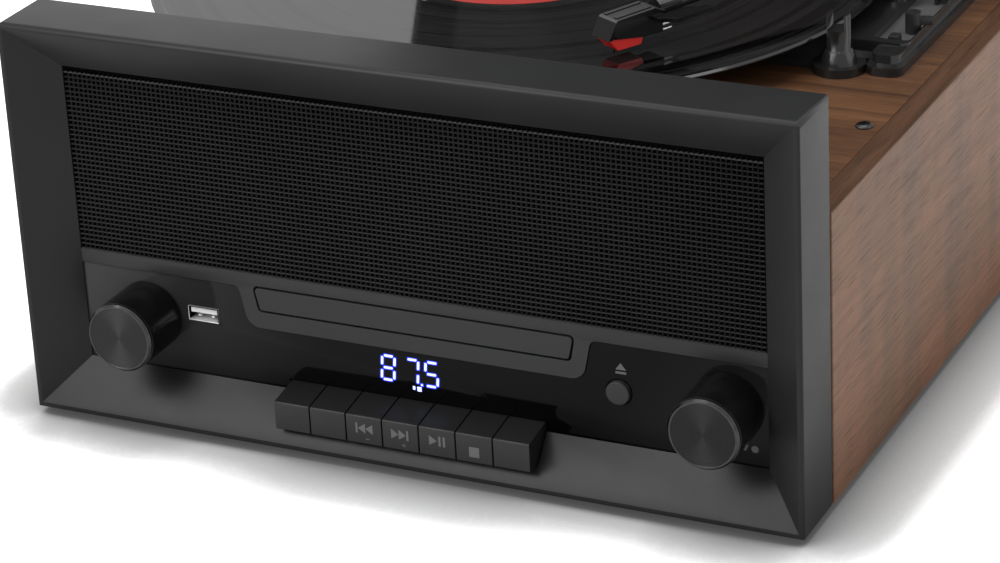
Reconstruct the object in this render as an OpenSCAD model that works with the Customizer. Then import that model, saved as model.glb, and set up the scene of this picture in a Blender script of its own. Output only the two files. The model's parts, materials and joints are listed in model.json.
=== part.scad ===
/* [Front frame] */
// Width of the front frame, which is also the width of the cabinet
front_w = 318; // [300:1:340]
// Height of the front frame
front_h = 159; // [150:1:170]
// Depth of the front frame
frame_d = 30; // [26:0.5:36]
// How far the grille and the fascia lie behind the rim
recess_d = 13.7; // [10:0.1:16]
// Width of the flat rim round the sloping sides
rim_w = 2.2; // [1.5:0.1:4]
// Width of the left and right slopes with the rim
side_slope = 18.3; // [14:0.1:22]
// Width of the top slope with the rim
top_slope = 20; // [14:0.1:24]
// Width of the bottom slope with the rim
bottom_slope = 18.8; // [16:0.1:22]
// Radius of the frame's rear edges
frame_back_r = 2.5; // [1:0.1:4]
// Radius of the frame's front edges
frame_front_r = 1; // [0.5:0.1:1.6]

/* [Cabinet] */
// How far the front frame rises above the wooden deck
frame_rise = 45; // [40:1:50]
// Thickness of the side boards
board_t = 10; // [8:0.5:12]
// Gap between the record and the case's rear end
back_gap = 5.6; // [4:0.1:30]
// Thickness of the deck board
deck_t = 9; // [7:0.5:12]
// Thickness of the bottom board
bottom_t = 6; // [4:0.5:9]
// Thickness of the rear panel
rear_t = 3; // [2:0.5:5]
// Height of the rubber feet
foot_h = 3; // [2:0.5:8]
// Radius of the rubber feet
foot_r = 9; // [6:0.5:12]
// Distance from the case's corners to the feet's centres
foot_inset = 24; // [16:1:40]

/* [Fascia] */
// Height of the fascia above the bottom slope
fascia_h = 45.6; // [43:0.1:50]
// Height of the plain strip under the grille
strip_h = 5.7; // [4:0.1:8]
// Half width of the drawer surround at its top
surround_top = 72.5; // [70:0.5:80]
// Half width of the drawer surround at its bottom
surround_low = 69; // [67:0.5:74]
// How far the drawer surround hangs below the strip
surround_drop = 16.4; // [14:0.1:19]
// Radius of the surround's lower corners
surround_r = 6; // [3:0.5:8]
// Thickness of the fascia
fascia_t = 3; // [2:0.5:4]
// How far the gloss panel lies behind the fascia's face
gloss_step = 0.6; // [0.3:0.1:1]
// Thickness of the gloss panel
gloss_t = 2.2; // [1.5:0.1:3]

/* [Grille] */
// Thickness of the speaker grille
grille_t = 1.2; // [0.8:0.1:2]
// Distance between neighbouring holes in a row
grille_pitch = 6.2; // [5:0.1:9]
// Distance between two rows of holes
grille_row = 4.6; // [4:0.1:8]
// Radius of a grille hole
grille_hole_r = 1.7; // [1:0.1:2]

/* [Disc drawer] */
// Half width of the drawer front along its top
drawer_top = 65.6; // [62:0.1:66]
// Half width of the drawer front along its bottom
drawer_low = 63.6; // [61:0.1:64]
// Height of the drawer front
drawer_h = 9; // [8:0.1:11]
// Gap all round the drawer front
drawer_gap = 0.8; // [0.4:0.1:1.2]
// Width of the disc tray
tray_w = 126; // [124:0.5:127]
// Length of the disc tray
tray_l = 148; // [140:1:160]
// Thickness of the disc tray
tray_t = 5; // [4:0.5:6]
// Radius of the well for a full-size disc
disc_well_r = 60.6; // [60.3:0.1:61]
// Depth of the disc well
disc_well_d = 2.4; // [1.5:0.1:3]

/* [Knobs and buttons] */
// Radius of the two knobs
knob_r = 13.8; // [12:0.1:15]
// Length of a knob from the gloss panel to its face
knob_l = 24; // [20:0.5:28]
// Distance of the tuning knob from the middle, to the left
tuning_x = 112.6; // [108:0.5:120]
// Distance of the volume knob from the middle, to the right
volume_x = 125; // [118:0.5:126]
// Height of the knobs' axes above the bottom slope
knob_z = 21.8; // [18:0.1:26]
// Radius of the control shafts
shaft_r = 3; // [2.5:0.1:3.5]
// Distance of the eject button from the middle
eject_x = 82.8; // [79:0.1:95]
// Height of the eject button above the bottom slope
eject_z = 20.7; // [16:0.1:24]
// Radius of the eject button
eject_r = 4.7; // [4:0.1:6]
// Width of a play key with its gap
key_pitch = 15.14; // [14:0.02:16]
// Gap between two play keys
key_gap = 0.5; // [0.3:0.05:0.8]
// Height of a play key's front face
key_h = 11.5; // [10:0.1:12.5]
// Height of the keys' lower edge above the surface underneath the case
key_foot = 8.4; // [7:0.1:9.5]
// How much the keys' tops climb towards the fascia
key_climb = 2.2; // [1:0.1:3]
// How far a play key goes in
key_travel = 2; // [1:0.1:2.5]

/* [Turntable] */
// Radius of the record
record_r = 150.8; // [145:0.1:152]
// Distance from the middle to the record's right edge
record_edge = 112.8; // [108:0.1:114]
// Gap between the front frame and the record
front_gap = 18.8; // [16:0.1:24]
// Thickness of the record
record_t = 1.8; // [1.5:0.1:2.4]
// Height of the record's upper face above the deck
record_rise = 14.4; // [13:0.1:18]
// Radius of the record's label
label_r = 50; // [40:1:52]
// Radius of the platter
platter_r = 98; // [90:1:110]
// Radius of the spindle
spindle_r = 3.6; // [3.5:0.05:3.6]
// Radius of the belt's path round the platter's drive ring
drive_r = 64; // [50:1:70]
// Radius of the motor pulley
pulley_r = 4; // [3:0.1:6]
// Distance from the spindle to the motor
motor_reach = 76; // [74:1:77]
// Thickness of the drive belt
belt_t = 0.7; // [0.5:0.1:1]
// Width of the drive belt
belt_w = 3; // [2:0.5:4]

/* [Tonearm] */
// Distance of the arm's pivot from the middle
pivot_x = 116; // [114:0.5:118]
// Distance of the arm's pivot behind the spindle
pivot_back = 52.4; // [46:0.2:56]
// Distance from the pivot to the stylus
arm_l = 157; // [150:1:160]
// Angle of the arm from straight ahead, over the record
arm_angle = 28.9; // [20:0.1:40]
// Slope of the arm down towards its head
arm_tilt = 2.2; // [0:0.1:3]
// Radius of the arm tube
tube_r = 2.9; // [2.5:0.1:3.2]
// Height of the arm tube's axis above the record at the stylus
tube_rise = 12.4; // [11:0.1:14]
// Distance of the arm rest from the middle
rest_x = 113.9; // [113.6:0.1:115]
// Distance of the arm rest ahead of the spindle
rest_ahead = 39.1; // [34:0.1:43]
// Radius of the arm rest's post
rest_r = 4.6; // [4:0.1:4.8]
// Height of the arm rest's prongs above the deck
rest_h = 23; // [20:0.5:24]
// Radius of the curved bar that lifts the arm, about the pivot
lift_r = 27.5; // [26:0.1:30]
// Height of the arm base's rim above the deck
base_h = 8; // [6:0.5:9]

/* [Dust cover] */
// Angle of the dust cover when it stands open
cover_open = 65; // [50:1:75]
// Wall thickness of the dust cover
cover_t = 2.5; // [2:0.1:3]
// Radius of the dust cover's edges
cover_r = 4; // [3:0.5:6]

/* [Hidden] */
$fn = 96;

// Clearances
fit = 0.05;         // running fit of a shaft
snug = 0.02;        // a piece pushed on a shaft of its own body
seat = 0.3;         // air between two pieces that almost touch
slide_gap = 0.4;    // air beside keys and other sliding pieces
lap = 4;            // how far the grille and the fascia reach behind the frame
cut = 1;            // how far a cutting shape sticks out

// Main planes: x from the middle, y from the rim backwards, z from the surface underneath
half_w = front_w / 2;
spindle_x = record_r - record_edge;
spindle_y = frame_d + front_gap + record_r;
cabinet_d = spindle_y + record_r + back_gap;
pivot_y = spindle_y + pivot_back;
rest_y = spindle_y - rest_ahead;
frame_top = foot_h + front_h;
deck_top = frame_top - frame_rise;
deck_low = deck_top - deck_t;
floor_top = foot_h + bottom_t;
open_x = half_w - side_slope;
open_z0 = foot_h + bottom_slope;
open_z1 = frame_top - top_slope;
grille_z0 = open_z0 + fascia_h;
strip_z0 = grille_z0 - strip_h;
inner_x = half_w - board_t;
back_wall = 2.5;
rear_y = cabinet_d - rear_t;
baffle_t = 6;

// Fascia
surround_z0 = strip_z0 - surround_drop;
drawer_z1 = strip_z0 + 0.1;
drawer_z0 = drawer_z1 - drawer_h;
gloss_y = recess_d + gloss_step;
knob_axis_z = open_z0 + knob_z;
eject_axis_z = open_z0 + eject_z;
key_count = 7;
key_z0 = foot_h + key_foot;
key_z1 = key_z0 + key_h;
keys_half = key_pitch * key_count / 2;
key_back = recess_d + 7;
board_thick = 1.6;
board_y = frame_d - back_wall - board_thick;
eject_out = 1.8;
eject_travel = 1.2;
shaft_in = 9;

// Display digits, seen through the gloss panel
display_x = -2.4;
display_z = open_z0 + 15.2;
display_w = 44;
display_h = 16;

// USB socket
usb_x = -89.1;
usb_z = open_z0 + 25;
usb_w = 13.1;
usb_h = 5.9;
usb_wall = 0.4;
usb_depth = 12;

// Disc mechanism
tray_z0 = drawer_z0 + 2;
tray_y0 = recess_d + 5;
tray_y1 = tray_y0 + tray_l;
disc_y = tray_y0 + disc_well_r + 4;
tray_travel = 130;
rail_t = 3;
rail_x = tray_w / 2 + seat;
sled_travel = 30;
sled_half = 13;
sled_l = 12;
hub_r = 12;
disc_floor = tray_z0 - 7.5;
disc_floor_t = 2.5;

// Turntable heights
record_top = deck_top + record_rise;
record_low = record_top - record_t;
mat_t = 1.2;
platter_top = record_low - mat_t;
platter_t = 2.6;
chassis_top = deck_top + 2.5;
platter_low = chassis_top + 1.2;
plate_x0 = -spindle_x - 92;
plate_y0 = rest_y - 1.5;
plate_y1 = spindle_y + 106.4;
well_r = drive_r + 22;
well_depth = 16;
motor_angle = 215;
motor_x = -spindle_x + motor_reach * cos(motor_angle);
motor_y = spindle_y + motor_reach * sin(motor_angle);
motor_r = 16;
motor_h = 22;
belt_z = platter_low + 1;

// Tonearm: the arm is drawn level and straight ahead from its pivot, then tilted and turned
groove_z = record_top + arm_l * sin(arm_tilt);
tube_z = groove_z + tube_rise;
tube_front = arm_l - 21;
tube_rear = 30;
pin_r = 1.5;
yoke_z0 = tube_z - 12;
yoke_half = 12;
yoke_t = 2.4;
pivot_post_r = 8.5;
base_x0 = rest_x - 10.5;
base_x1 = half_w - 20;
base_z = deck_top + base_h;
base_floor = deck_top + 5;
prong_top = deck_top + rest_h;
lobe_r = 10.4;
lift_bar_w = 3;
lift_bar_t = 1.8;
lift_top = tube_z - (lift_r + lift_bar_w / 2) * sin(arm_tilt) - tube_r - seat;
lift_stem_r = 2.4;
lift_x = pivot_x;
lift_y = pivot_y - lift_r;
cue_x = base_x1 - 6;
cue_y = lift_y + 5;
cue_z = base_floor + 4;
cue_r = 2.6;
cue_half = 1.8;

// Switches on the arm base
speed_x = base_x1 - 7.2;
speed_y = rest_y + 34.5;
speed_stem_r = 1.6;
stop_x = base_x1 - 9.8;
stop_y = rest_y + 20.5;
stop_travel = 4;

// Transport screws through the deck
screw_x = half_w - 16.4;
screw_y = frame_d + 79;
screw_r = 1.8;

// Dust cover: it closes flush with the frame's top, behind the frame
cover_y0 = frame_d + 0.4;
cover_y1 = cabinet_d;
cover_z0 = deck_top + seat;
hinge_y = cabinet_d + 3.4;
hinge_z = deck_top + 5;
hinge_r = 3;
hinge_pin_r = 1.5;
hinge_x = 104;
hinge_w = 26;
notch_margin = 8;
notch_top = record_top + 8;
over_half = half_w - cover_t;
notch_half = (spindle_x + record_r > over_half)
  ? sqrt(pow(record_r, 2) - pow(over_half - spindle_x, 2)) + notch_margin : 0;

// Origin: the middle of the bounding box, on the surface underneath, with the cover open
corner_y = cover_y1 - cover_r - hinge_y;
corner_z = frame_top - cover_r - hinge_z;
reach_back = hinge_y + corner_y * cos(cover_open) + corner_z * sin(cover_open) + cover_r;
reach_front = knob_l - gloss_y;
reach_left = max(half_w, spindle_x + record_r);
mid_x = (reach_left - half_w) / 2;
front_y = (reach_front - reach_back) / 2;

// Colours
frame_grey = [0.27, 0.275, 0.285];
fascia_grey = [0.23, 0.235, 0.24];
gloss_black = [0.05, 0.05, 0.055];
soft_black = [0.08, 0.08, 0.085];
walnut = [0.36, 0.24, 0.17];
side_walnut = [0.5, 0.39, 0.33];
steel = [0.72, 0.73, 0.75];
board_green = [0.1, 0.32, 0.2];
stylus_red = [0.86, 0.13, 0.1];
label_red = [0.66, 0.12, 0.12];
smoked = [0.2, 0.2, 0.22, 0.45];

module in_cabinet() {
  translate([mid_x, front_y, 0]) children();
}

module box(x0, x1, y0, y1, z0, z1) {
  translate([x0, y0, z0]) cube([x1 - x0, y1 - y0, z1 - z0]);
}

// A flat shape in x and z, from y0 to y1
module y_slab(y0, y1) {
  translate([0, y1, 0]) rotate([90, 0, 0]) linear_extrude(y1 - y0) children();
}

// A flat shape in y and z, from x0 to x1
module x_slab(x0, x1) {
  translate([x0, 0, 0]) rotate([90, 0, 90]) linear_extrude(x1 - x0) children();
}

// A flat shape in x and y, from z0 to z1
module z_slab(z0, z1) {
  translate([0, 0, z0]) linear_extrude(z1 - z0) children();
}

module rod_y(x, z, r, y0, y1) {
  translate([x, y1, z]) rotate([90, 0, 0]) cylinder(r = r, h = y1 - y0);
}

module rod_x(y, z, r, x0, x1) {
  translate([x0, y, z]) rotate([0, 90, 0]) cylinder(r = r, h = x1 - x0);
}

module rod_z(x, y, r, z0, z1) {
  translate([x, y, z0]) cylinder(r = r, h = z1 - z0);
}

// A rectangle with its own corner radius at its low and at its high end
module round_rect(x0, x1, y0, y1, r0, r1) {
  translate([x0, y0 + r0]) square([x1 - x0, y1 - y0 - r0 - r1]);
  translate([x0 + r0, y0]) square([x1 - x0 - 2 * r0, r0]);
  translate([x0 + r1, y1 - r1]) square([x1 - x0 - 2 * r1, r1]);
  for (side = [0, 1]) {
    translate([side ? x1 - r0 : x0 + r0, y0 + r0]) circle(r0);
    translate([side ? x1 - r1 : x0 + r1, y1 - r1]) circle(r1);
  }
}

function arc(x, z, r, a0, a1, steps = 8) =
  [for (i = [0:steps]) [x + r * cos(a0 + (a1 - a0) * i / steps), z + r * sin(a0 + (a1 - a0) * i / steps)]];

function mirrored(points) = [for (i = [len(points) - 1:-1:0]) [-points[i][0], points[i][1]]];

// Right side of a shape between z0 and z1 that is low wide below and top wide above
function side_tilt(top, low, z0, z1) = atan2(top - low, z1 - z0);
function side_x(top, low, z0, z1, z) = low + (top - low) * (z - z0) / (z1 - z0);

function round_side(top, low, z0, z1, r) =
  let (a = side_tilt(top, low, z0, z1))
  concat(
    arc(side_x(top, low, z0, z1, z0 + r) - r / cos(a), z0 + r, r, -90, -a),
    arc(side_x(top, low, z0, z1, z1 - r) - r / cos(a), z1 - r, r, -a, 90));

module round_trapezoid(top, low, z0, z1, r) {
  right = round_side(top, low, z0, z1, r);
  polygon(concat(right, mirrored(right)));
}

// The strip's drop round the drawer: hollow corners above, full corners below
module surround_shape(grow = 0) {
  top = surround_top + grow;
  low = surround_low + grow;
  z0 = surround_z0 - grow;
  z1 = strip_z0;
  hollow_r = 3;
  a = side_tilt(top, low, z0, z1);
  right = concat(
    arc(side_x(top, low, z0, z1, z0 + surround_r) - surround_r / cos(a), z0 + surround_r,
      surround_r, -90, -a),
    arc(side_x(top, low, z0, z1, z1 - hollow_r) + hollow_r / cos(a), z1 - hollow_r,
      hollow_r, 180 - a, 90));
  polygon(concat(right, mirrored(right)));
}

module front_frame() {
  color(frame_grey) in_cabinet() difference() {
    intersection() {
      y_slab(0, frame_d)
        round_rect(-half_w, half_w, foot_h, frame_top, frame_front_r, frame_back_r);
      z_slab(0, frame_top + cut)
        round_rect(-half_w, half_w, 0, frame_d, frame_front_r, frame_back_r);
      x_slab(-half_w, half_w)
        round_rect(0, frame_d, foot_h, frame_top, frame_front_r, frame_back_r);
    }
    frame_slopes();
    box(-open_x, open_x, 0, frame_d - back_wall, open_z0, open_z1);
    box(-open_x - lap, open_x + lap, recess_d, frame_d - back_wall, open_z0 - lap, open_z1 + lap);
    box(-open_x - lap, open_x + lap, recess_d, frame_d + cut, open_z0 - lap, deck_low);
    box(-keys_half - slide_gap, keys_half + slide_gap, -cut, frame_d + cut,
      key_z0 - slide_gap, open_z0 + cut);
  }
}

// The recess whose four sides slope from the rim to the grille
module frame_slopes() {
  thin = 0.01;
  hull() {
    y_slab(-thin, 0) translate([-half_w + rim_w, foot_h + rim_w])
      square([front_w - 2 * rim_w, front_h - 2 * rim_w]);
    y_slab(recess_d - thin, recess_d) translate([-open_x, open_z0])
      square([2 * open_x, open_z1 - open_z0]);
  }
}

module fascia() {
  color(fascia_grey) in_cabinet() y_slab(recess_d, recess_d + fascia_t) difference() {
    union() {
      translate([-open_x - lap + seat, strip_z0])
        square([2 * (open_x + lap - seat), grille_z0 - strip_z0]);
      surround_shape();
    }
    round_trapezoid(drawer_top + drawer_gap, drawer_low + drawer_gap,
      drawer_z0 - drawer_gap, drawer_z1 + drawer_gap, 2);
  }
}

module gloss_panel() {
  color(gloss_black) in_cabinet() difference() {
    y_slab(gloss_y, gloss_y + gloss_t) difference() {
      translate([-open_x - lap + seat, open_z0 - lap + seat])
        square([2 * (open_x + lap - seat), strip_z0 - open_z0 + lap - seat - 0.1]);
      surround_shape(0.1);
      translate([-keys_half - slide_gap, 0])
        square([2 * (keys_half + slide_gap), key_z1 + key_climb + slide_gap]);
      translate([usb_x - usb_w / 2 - slide_gap, usb_z - usb_h / 2 - slide_gap])
        square([usb_w + 2 * slide_gap, usb_h + 2 * slide_gap]);
    }
    rod_y(-tuning_x, knob_axis_z, shaft_r + 1, 0, frame_d);
    rod_y(volume_x, knob_axis_z, shaft_r + 1, 0, frame_d);
    rod_y(eject_x, eject_axis_z, eject_r + slide_gap, 0, frame_d);
  }
}

module speaker_grille() {
  field_x = open_x - 1;
  field_z0 = grille_z0 + grille_row / 2;
  field_z1 = open_z1 - grille_row / 2;
  rows = floor((field_z1 - field_z0) / grille_row);
  columns = floor(2 * (field_x - grille_hole_r) / grille_pitch);
  color(soft_black) in_cabinet() y_slab(recess_d, recess_d + grille_t) difference() {
    translate([-open_x - lap + seat, grille_z0 + 0.1])
      square([2 * (open_x + lap - seat), open_z1 + lap - seat - grille_z0 - 0.1]);
    for (row = [0:rows]) {
      shift = row % 2 == 0 ? 0 : 0.5;
      for (column = [0:columns - row % 2])
        translate([(column + shift - columns / 2) * grille_pitch,
          field_z0 + row * grille_row]) circle(grille_hole_r);
    }
  }
}

// Speakers
speaker_x = inner_x - 43;
speaker_r = 24.5;
speaker_z = deck_low - speaker_r - 1;
speaker_y = frame_d + baffle_t;
magnet_r = 16;

module front_baffle() {
  window_x = tray_w / 2 + 8;
  color(side_walnut) in_cabinet() y_slab(frame_d, frame_d + baffle_t) difference() {
    translate([-inner_x, floor_top]) square([2 * inner_x, deck_low - floor_top]);
    for (side = [-1, 1])
      translate([side * speaker_x, speaker_z]) circle(speaker_r - 4);
    translate([-window_x, tray_z0 - 12]) square([2 * window_x, tray_t + 22]);
  }
}

module side_board() {
  z_slab(foot_h, deck_top) translate([inner_x, frame_d]) square([board_t, cabinet_d - frame_d]);
}

module left_side_board() {
  color(side_walnut) in_cabinet() mirror([1, 0, 0]) side_board();
}

module right_side_board() {
  color(side_walnut) in_cabinet() side_board();
}

module deck_board() {
  gap = 1;
  color(walnut) in_cabinet() difference() {
    box(-inner_x, inner_x, frame_d, cabinet_d, deck_low, deck_top);
    rod_z(-spindle_x, spindle_y, well_r + gap, deck_low - cut, deck_top + cut);
    box(pivot_x - 12, base_x1 - 3, pivot_y - 40, pivot_y + 24, deck_low - cut, deck_top + cut);
    for (side = [-1, 1])
      rod_z(side * screw_x, screw_y, screw_r + 0.2, deck_low - cut, deck_top + cut);
  }
}

module bottom_board() {
  vent_w = 40;
  vent_y = tray_y1 + 33;
  color(soft_black) in_cabinet() difference() {
    box(-inner_x, inner_x, frame_d, cabinet_d, foot_h, floor_top);
    for (side = [-1, 1])
      for (i = [0:7])
        box(side * 60 - vent_w / 2, side * 60 + vent_w / 2, vent_y + i * 8, vent_y + 3 + i * 8,
          foot_h - cut, floor_top + cut);
  }
}

// Rear sockets: mains inlet on the left seen from the front, line outputs on the right
inlet_x = -104;
inlet_z = 34;
inlet_w = 20;
inlet_h = 12;
line_x = 62;
line_z = 34;
line_pitch = 14;
line_r = 4.2;

module rear_panel() {
  color(soft_black) in_cabinet() y_slab(rear_y, cabinet_d) difference() {
    translate([-inner_x, floor_top]) square([2 * inner_x, deck_low - floor_top]);
    translate([inlet_x - inlet_w / 2, inlet_z - inlet_h / 2]) square([inlet_w, inlet_h]);
    for (i = [0, 1])
      translate([line_x + i * line_pitch, line_z]) circle(line_r + fit);
    for (i = [0:9])
      translate([-32 + i * 7, 70]) square([3, 22]);
  }
}

module feet() {
  color(soft_black) in_cabinet()
    for (x = [-half_w + foot_inset, half_w - foot_inset])
      for (y = [frame_d + foot_inset, cabinet_d - foot_inset])
        translate([x, y, 0]) rotate_extrude()
          polygon([[0, 0], [foot_r - 1.5, 0], [foot_r, foot_h], [0, foot_h]]);
}

module case_screws() {
  head_r = 3.2;
  color(steel) in_cabinet()
    for (x = [-inner_x + 8, inner_x - 8])
      for (z = [floor_top + 8, deck_low - 8])
        translate([x, cabinet_d, z]) rotate([-90, 0, 0]) difference() {
          rotate_extrude() polygon([[0, 0], [head_r, 0], [head_r, 0.6], [1.6, 1.8], [0, 1.8]]);
          translate([-2, -0.4, 1]) cube([4, 0.8, 2]);
          translate([-0.4, -2, 1]) cube([0.8, 4, 2]);
        }
}

module speakers() {
  cone_depth = 9;
  depth = 26;
  color(soft_black) in_cabinet()
    for (side = [-1, 1])
      translate([side * speaker_x, speaker_y, speaker_z]) rotate([-90, 0, 0])
        rotate_extrude() polygon([
          [0, 4], [6, 5.4], [8, cone_depth], [17, 2.4], [20, 0.6], [21, 0],
          [speaker_r, 0], [speaker_r, 2], [speaker_r - 2, 3], [magnet_r - 2, 14],
          [magnet_r, 14], [magnet_r, depth], [0, depth]]);
}

module front_board() {
  low = open_z0 - lap + seat;
  color(board_green) in_cabinet() {
    y_slab(board_y, board_y + board_thick) difference() {
      union() {
        translate([-open_x, low]) square([2 * open_x, tray_z0 + 5 - low]);
        translate([-keys_half, key_z0 + 1]) square([2 * keys_half, 10]);
      }
      translate([-tray_w / 2 - 10, tray_z0 - 6]) square([tray_w + 20, 20]);
      translate([usb_x - usb_w / 2 - 1, usb_z - usb_h / 2 - 1]) square([usb_w + 2, usb_h + 2]);
    }
    for (i = [0:key_count - 1])
      box(key_mid(i) - 3, key_mid(i) + 3, key_back + key_travel + seat, board_y,
        key_z0 + 3, key_z0 + 9);
    box(eject_x - 3, eject_x + 3, eject_back + eject_travel + seat, board_y,
      eject_axis_z - 3, eject_axis_z + 3);
  }
}

// The rotary controls behind the knobs, each with a threaded bush round its shaft
module knob_controls() {
  body_front = gloss_y + gloss_t + 1;
  bore_end = gloss_y + shaft_in + 0.2;
  color(steel) in_cabinet()
    for (x = [-tuning_x, volume_x]) difference() {
      union() {
        box(x - 6.5, x + 6.5, body_front, board_y, knob_axis_z - 6.5, knob_axis_z + 6.5);
        rod_y(x, knob_axis_z, shaft_r + 0.9, gloss_y, body_front + cut);
      }
      rod_y(x, knob_axis_z, shaft_r + fit, 0, bore_end);
    }
}

module display_module() {
  color(soft_black) in_cabinet()
    box(display_x - display_w / 2, display_x + display_w / 2, gloss_y + gloss_t + 0.1, board_y,
      display_z - display_h / 2, display_z + display_h / 2);
}

module usb_socket() {
  half = usb_w / 2;
  color(steel) in_cabinet() {
    difference() {
      box(usb_x - half, usb_x + half, gloss_y, gloss_y + usb_depth,
        usb_z - usb_h / 2, usb_z + usb_h / 2);
      box(usb_x - half + usb_wall, usb_x + half - usb_wall, 0, gloss_y + usb_depth - 1,
        usb_z - usb_h / 2 + usb_wall, usb_z + usb_h / 2 - usb_wall);
    }
    box(usb_x - 5.5, usb_x + 5.5, gloss_y + 1, gloss_y + usb_depth - 0.5,
      usb_z + 0.1, usb_z + 1.9);
  }
}

module main_board() {
  x0 = -20;
  x1 = 120;
  y0 = tray_y1 + 33;
  y1 = cabinet_d - 46;
  post = 6;
  board_z = floor_top + 6;
  color(board_green) in_cabinet() {
    box(x0, x1, y0, y1, board_z, board_z + board_thick);
    for (x = [x0 + post, x1 - post])
      for (y = [y0 + post, y1 - post])
        rod_z(x, y, 2.5, floor_top, board_z);
    box(40, 78, y1 - 60, y1 - 48, board_z + board_thick, board_z + 24);
    for (i = [0:3])
      rod_z(i * 14, y1 - 20, 4, board_z + board_thick, board_z + 16);
  }
}

// A core between two halves of its winding, on a foot plate
module transformer() {
  x = inlet_x + 11;
  y1 = cabinet_d - 42;
  y0 = y1 - 46;
  side = 8;
  color(steel) in_cabinet() translate([x, 0, floor_top]) {
    box(-27, 27, y0, y1, 0, 3);
    box(-21, 21, y0 + side, y1 - side, 3, 38);
    box(-13, 13, y0, y0 + side, 8, 33);
    box(-13, 13, y1 - side, y1, 8, 33);
  }
}

module rear_sockets() {
  inlet_depth = 18;
  wall = 1.6;
  color(soft_black) in_cabinet() {
    difference() {
      box(inlet_x - inlet_w / 2, inlet_x + inlet_w / 2, cabinet_d - inlet_depth, cabinet_d,
        inlet_z - inlet_h / 2, inlet_z + inlet_h / 2);
      box(inlet_x - inlet_w / 2 + wall, inlet_x + inlet_w / 2 - wall,
        cabinet_d - inlet_depth + 3, cabinet_d + cut,
        inlet_z - inlet_h / 2 + wall, inlet_z + inlet_h / 2 - wall);
    }
    for (side = [-1, 1])
      rod_y(inlet_x + side * 4.3, inlet_z, 1.2, cabinet_d - inlet_depth + 2, cabinet_d - 4);
    for (i = [0, 1]) difference() {
      union() {
        rod_y(line_x + i * line_pitch, line_z, line_r, rear_y - 8, cabinet_d + 8);
        rod_y(line_x + i * line_pitch, line_z, line_r + 2, rear_y - 10, rear_y);
      }
      rod_y(line_x + i * line_pitch, line_z, 1.6, cabinet_d - 2, cabinet_d + 8 + cut);
    }
  }
}

// The open frame that the disc tray runs in, on two posts at the back and the baffle in front
module disc_chassis() {
  y0 = frame_d + baffle_t;
  y1 = tray_y1 + 6;
  z0 = disc_floor - disc_floor_t;
  outer = rail_x + rail_t;
  color(soft_black) in_cabinet() {
    difference() {
      box(-outer, outer, y0, y1, z0, tray_z0 + tray_t + 4);
      box(-rail_x, rail_x, y0 - cut, y1 - 3, tray_z0 - seat, tray_z0 + tray_t + seat);
      box(-rail_x + 3, rail_x - 3, y0 - cut, y1 - 3, tray_z0, tray_z0 + tray_t + 5);
      box(-rail_x + 3, rail_x - 3, y0 - cut, y1 - 3, disc_floor, tray_z0);
      rod_z(0, disc_y, 2, z0 - cut, z0 + 3);
      box(-sled_half - slide_gap, sled_half + slide_gap, disc_y + hub_r + 4,
        disc_y + hub_r + 10 + sled_l + sled_travel, z0 - cut, z0 + 3);
    }
    for (side = [-1, 1])
      for (y = [y0 + 8, y1 - 8])
        rod_z(side * (outer - 6), y, 4, floor_top, z0);
  }
}

// The small motor under the disc mechanism's floor
module disc_motor() {
  top = disc_floor - disc_floor_t;
  can_r = 11;
  can_h = 7;
  color(steel) in_cabinet() translate([0, disc_y, 0]) rotate_extrude() polygon([
    [1.55, top - can_h + 1], [1.55, top], [can_r - 1, top], [can_r, top - 1],
    [can_r, top - can_h], [0, top - can_h], [0, top - can_h + 1]]);
}

// The plate ends where the arm base begins
module plate_outline() {
  difference() {
    union() {
      round_rect(plate_x0, base_x0 + 24, plate_y0, plate_y1, 12, 12);
      translate([-spindle_x, spindle_y]) circle(well_r + 6);
    }
    translate([base_x0, plate_y0 - cut]) square([40, plate_y1 - plate_y0 + 2 * cut]);
    translate([rest_x, rest_y]) circle(lobe_r + 0.2);
  }
}

// The moulded plate under the platter, with a round well that hangs through the deck
module turntable_chassis() {
  wall = 2;
  color(soft_black) in_cabinet() difference() {
    union() {
      z_slab(deck_top, chassis_top) plate_outline();
      rod_z(-spindle_x, spindle_y, well_r, deck_top - well_depth, deck_top + cut);
      rod_z(-spindle_x, spindle_y, 8, deck_top - well_depth, platter_low - seat);
    }
    difference() {
      rod_z(-spindle_x, spindle_y, well_r - wall, deck_top - well_depth + wall, chassis_top + cut);
      rod_z(-spindle_x, spindle_y, 8, deck_top - well_depth, chassis_top + 2 * cut);
    }
    rod_z(-spindle_x, spindle_y, spindle_r + snug, deck_top - well_depth + wall,
      chassis_top + 3 * cut);
    rod_z(motor_x, motor_y, 6, deck_top - well_depth - cut, chassis_top + cut);
  }
}

module base_outline() {
  round_rect(base_x0, base_x1, plate_y0 + 8, plate_y1, 6, 6);
  round_rect(base_x0 + 21, base_x1, plate_y0 - 1, plate_y0 + 40, 5, 5);
  translate([rest_x, rest_y]) circle(lobe_r);
}

// The long moulding beside the record that carries the arm, its rest and the switches
module arm_base() {
  tray_x0 = base_x0 + 18;
  tray_x1 = base_x1 - 3;
  tray_front = plate_y0 + 19;
  cheek_t = 1.2;
  cheek_x = cue_half + seat + cheek_t / 2;
  color(soft_black) in_cabinet() {
    base_shell(tray_x0, tray_x1, tray_front);
    for (side = [-1, 1]) difference() {
      union() {
        box(cue_x + side * cheek_x - cheek_t / 2, cue_x + side * cheek_x + cheek_t / 2,
          cue_y - 3, cue_y + 3, base_floor, cue_z);
        rod_x(cue_y, cue_z, 3, cue_x + side * cheek_x - cheek_t / 2,
          cue_x + side * cheek_x + cheek_t / 2);
      }
      rod_x(cue_y, cue_z, pin_r + fit, cue_x - 8, cue_x + 8);
    }
  }
}

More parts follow.
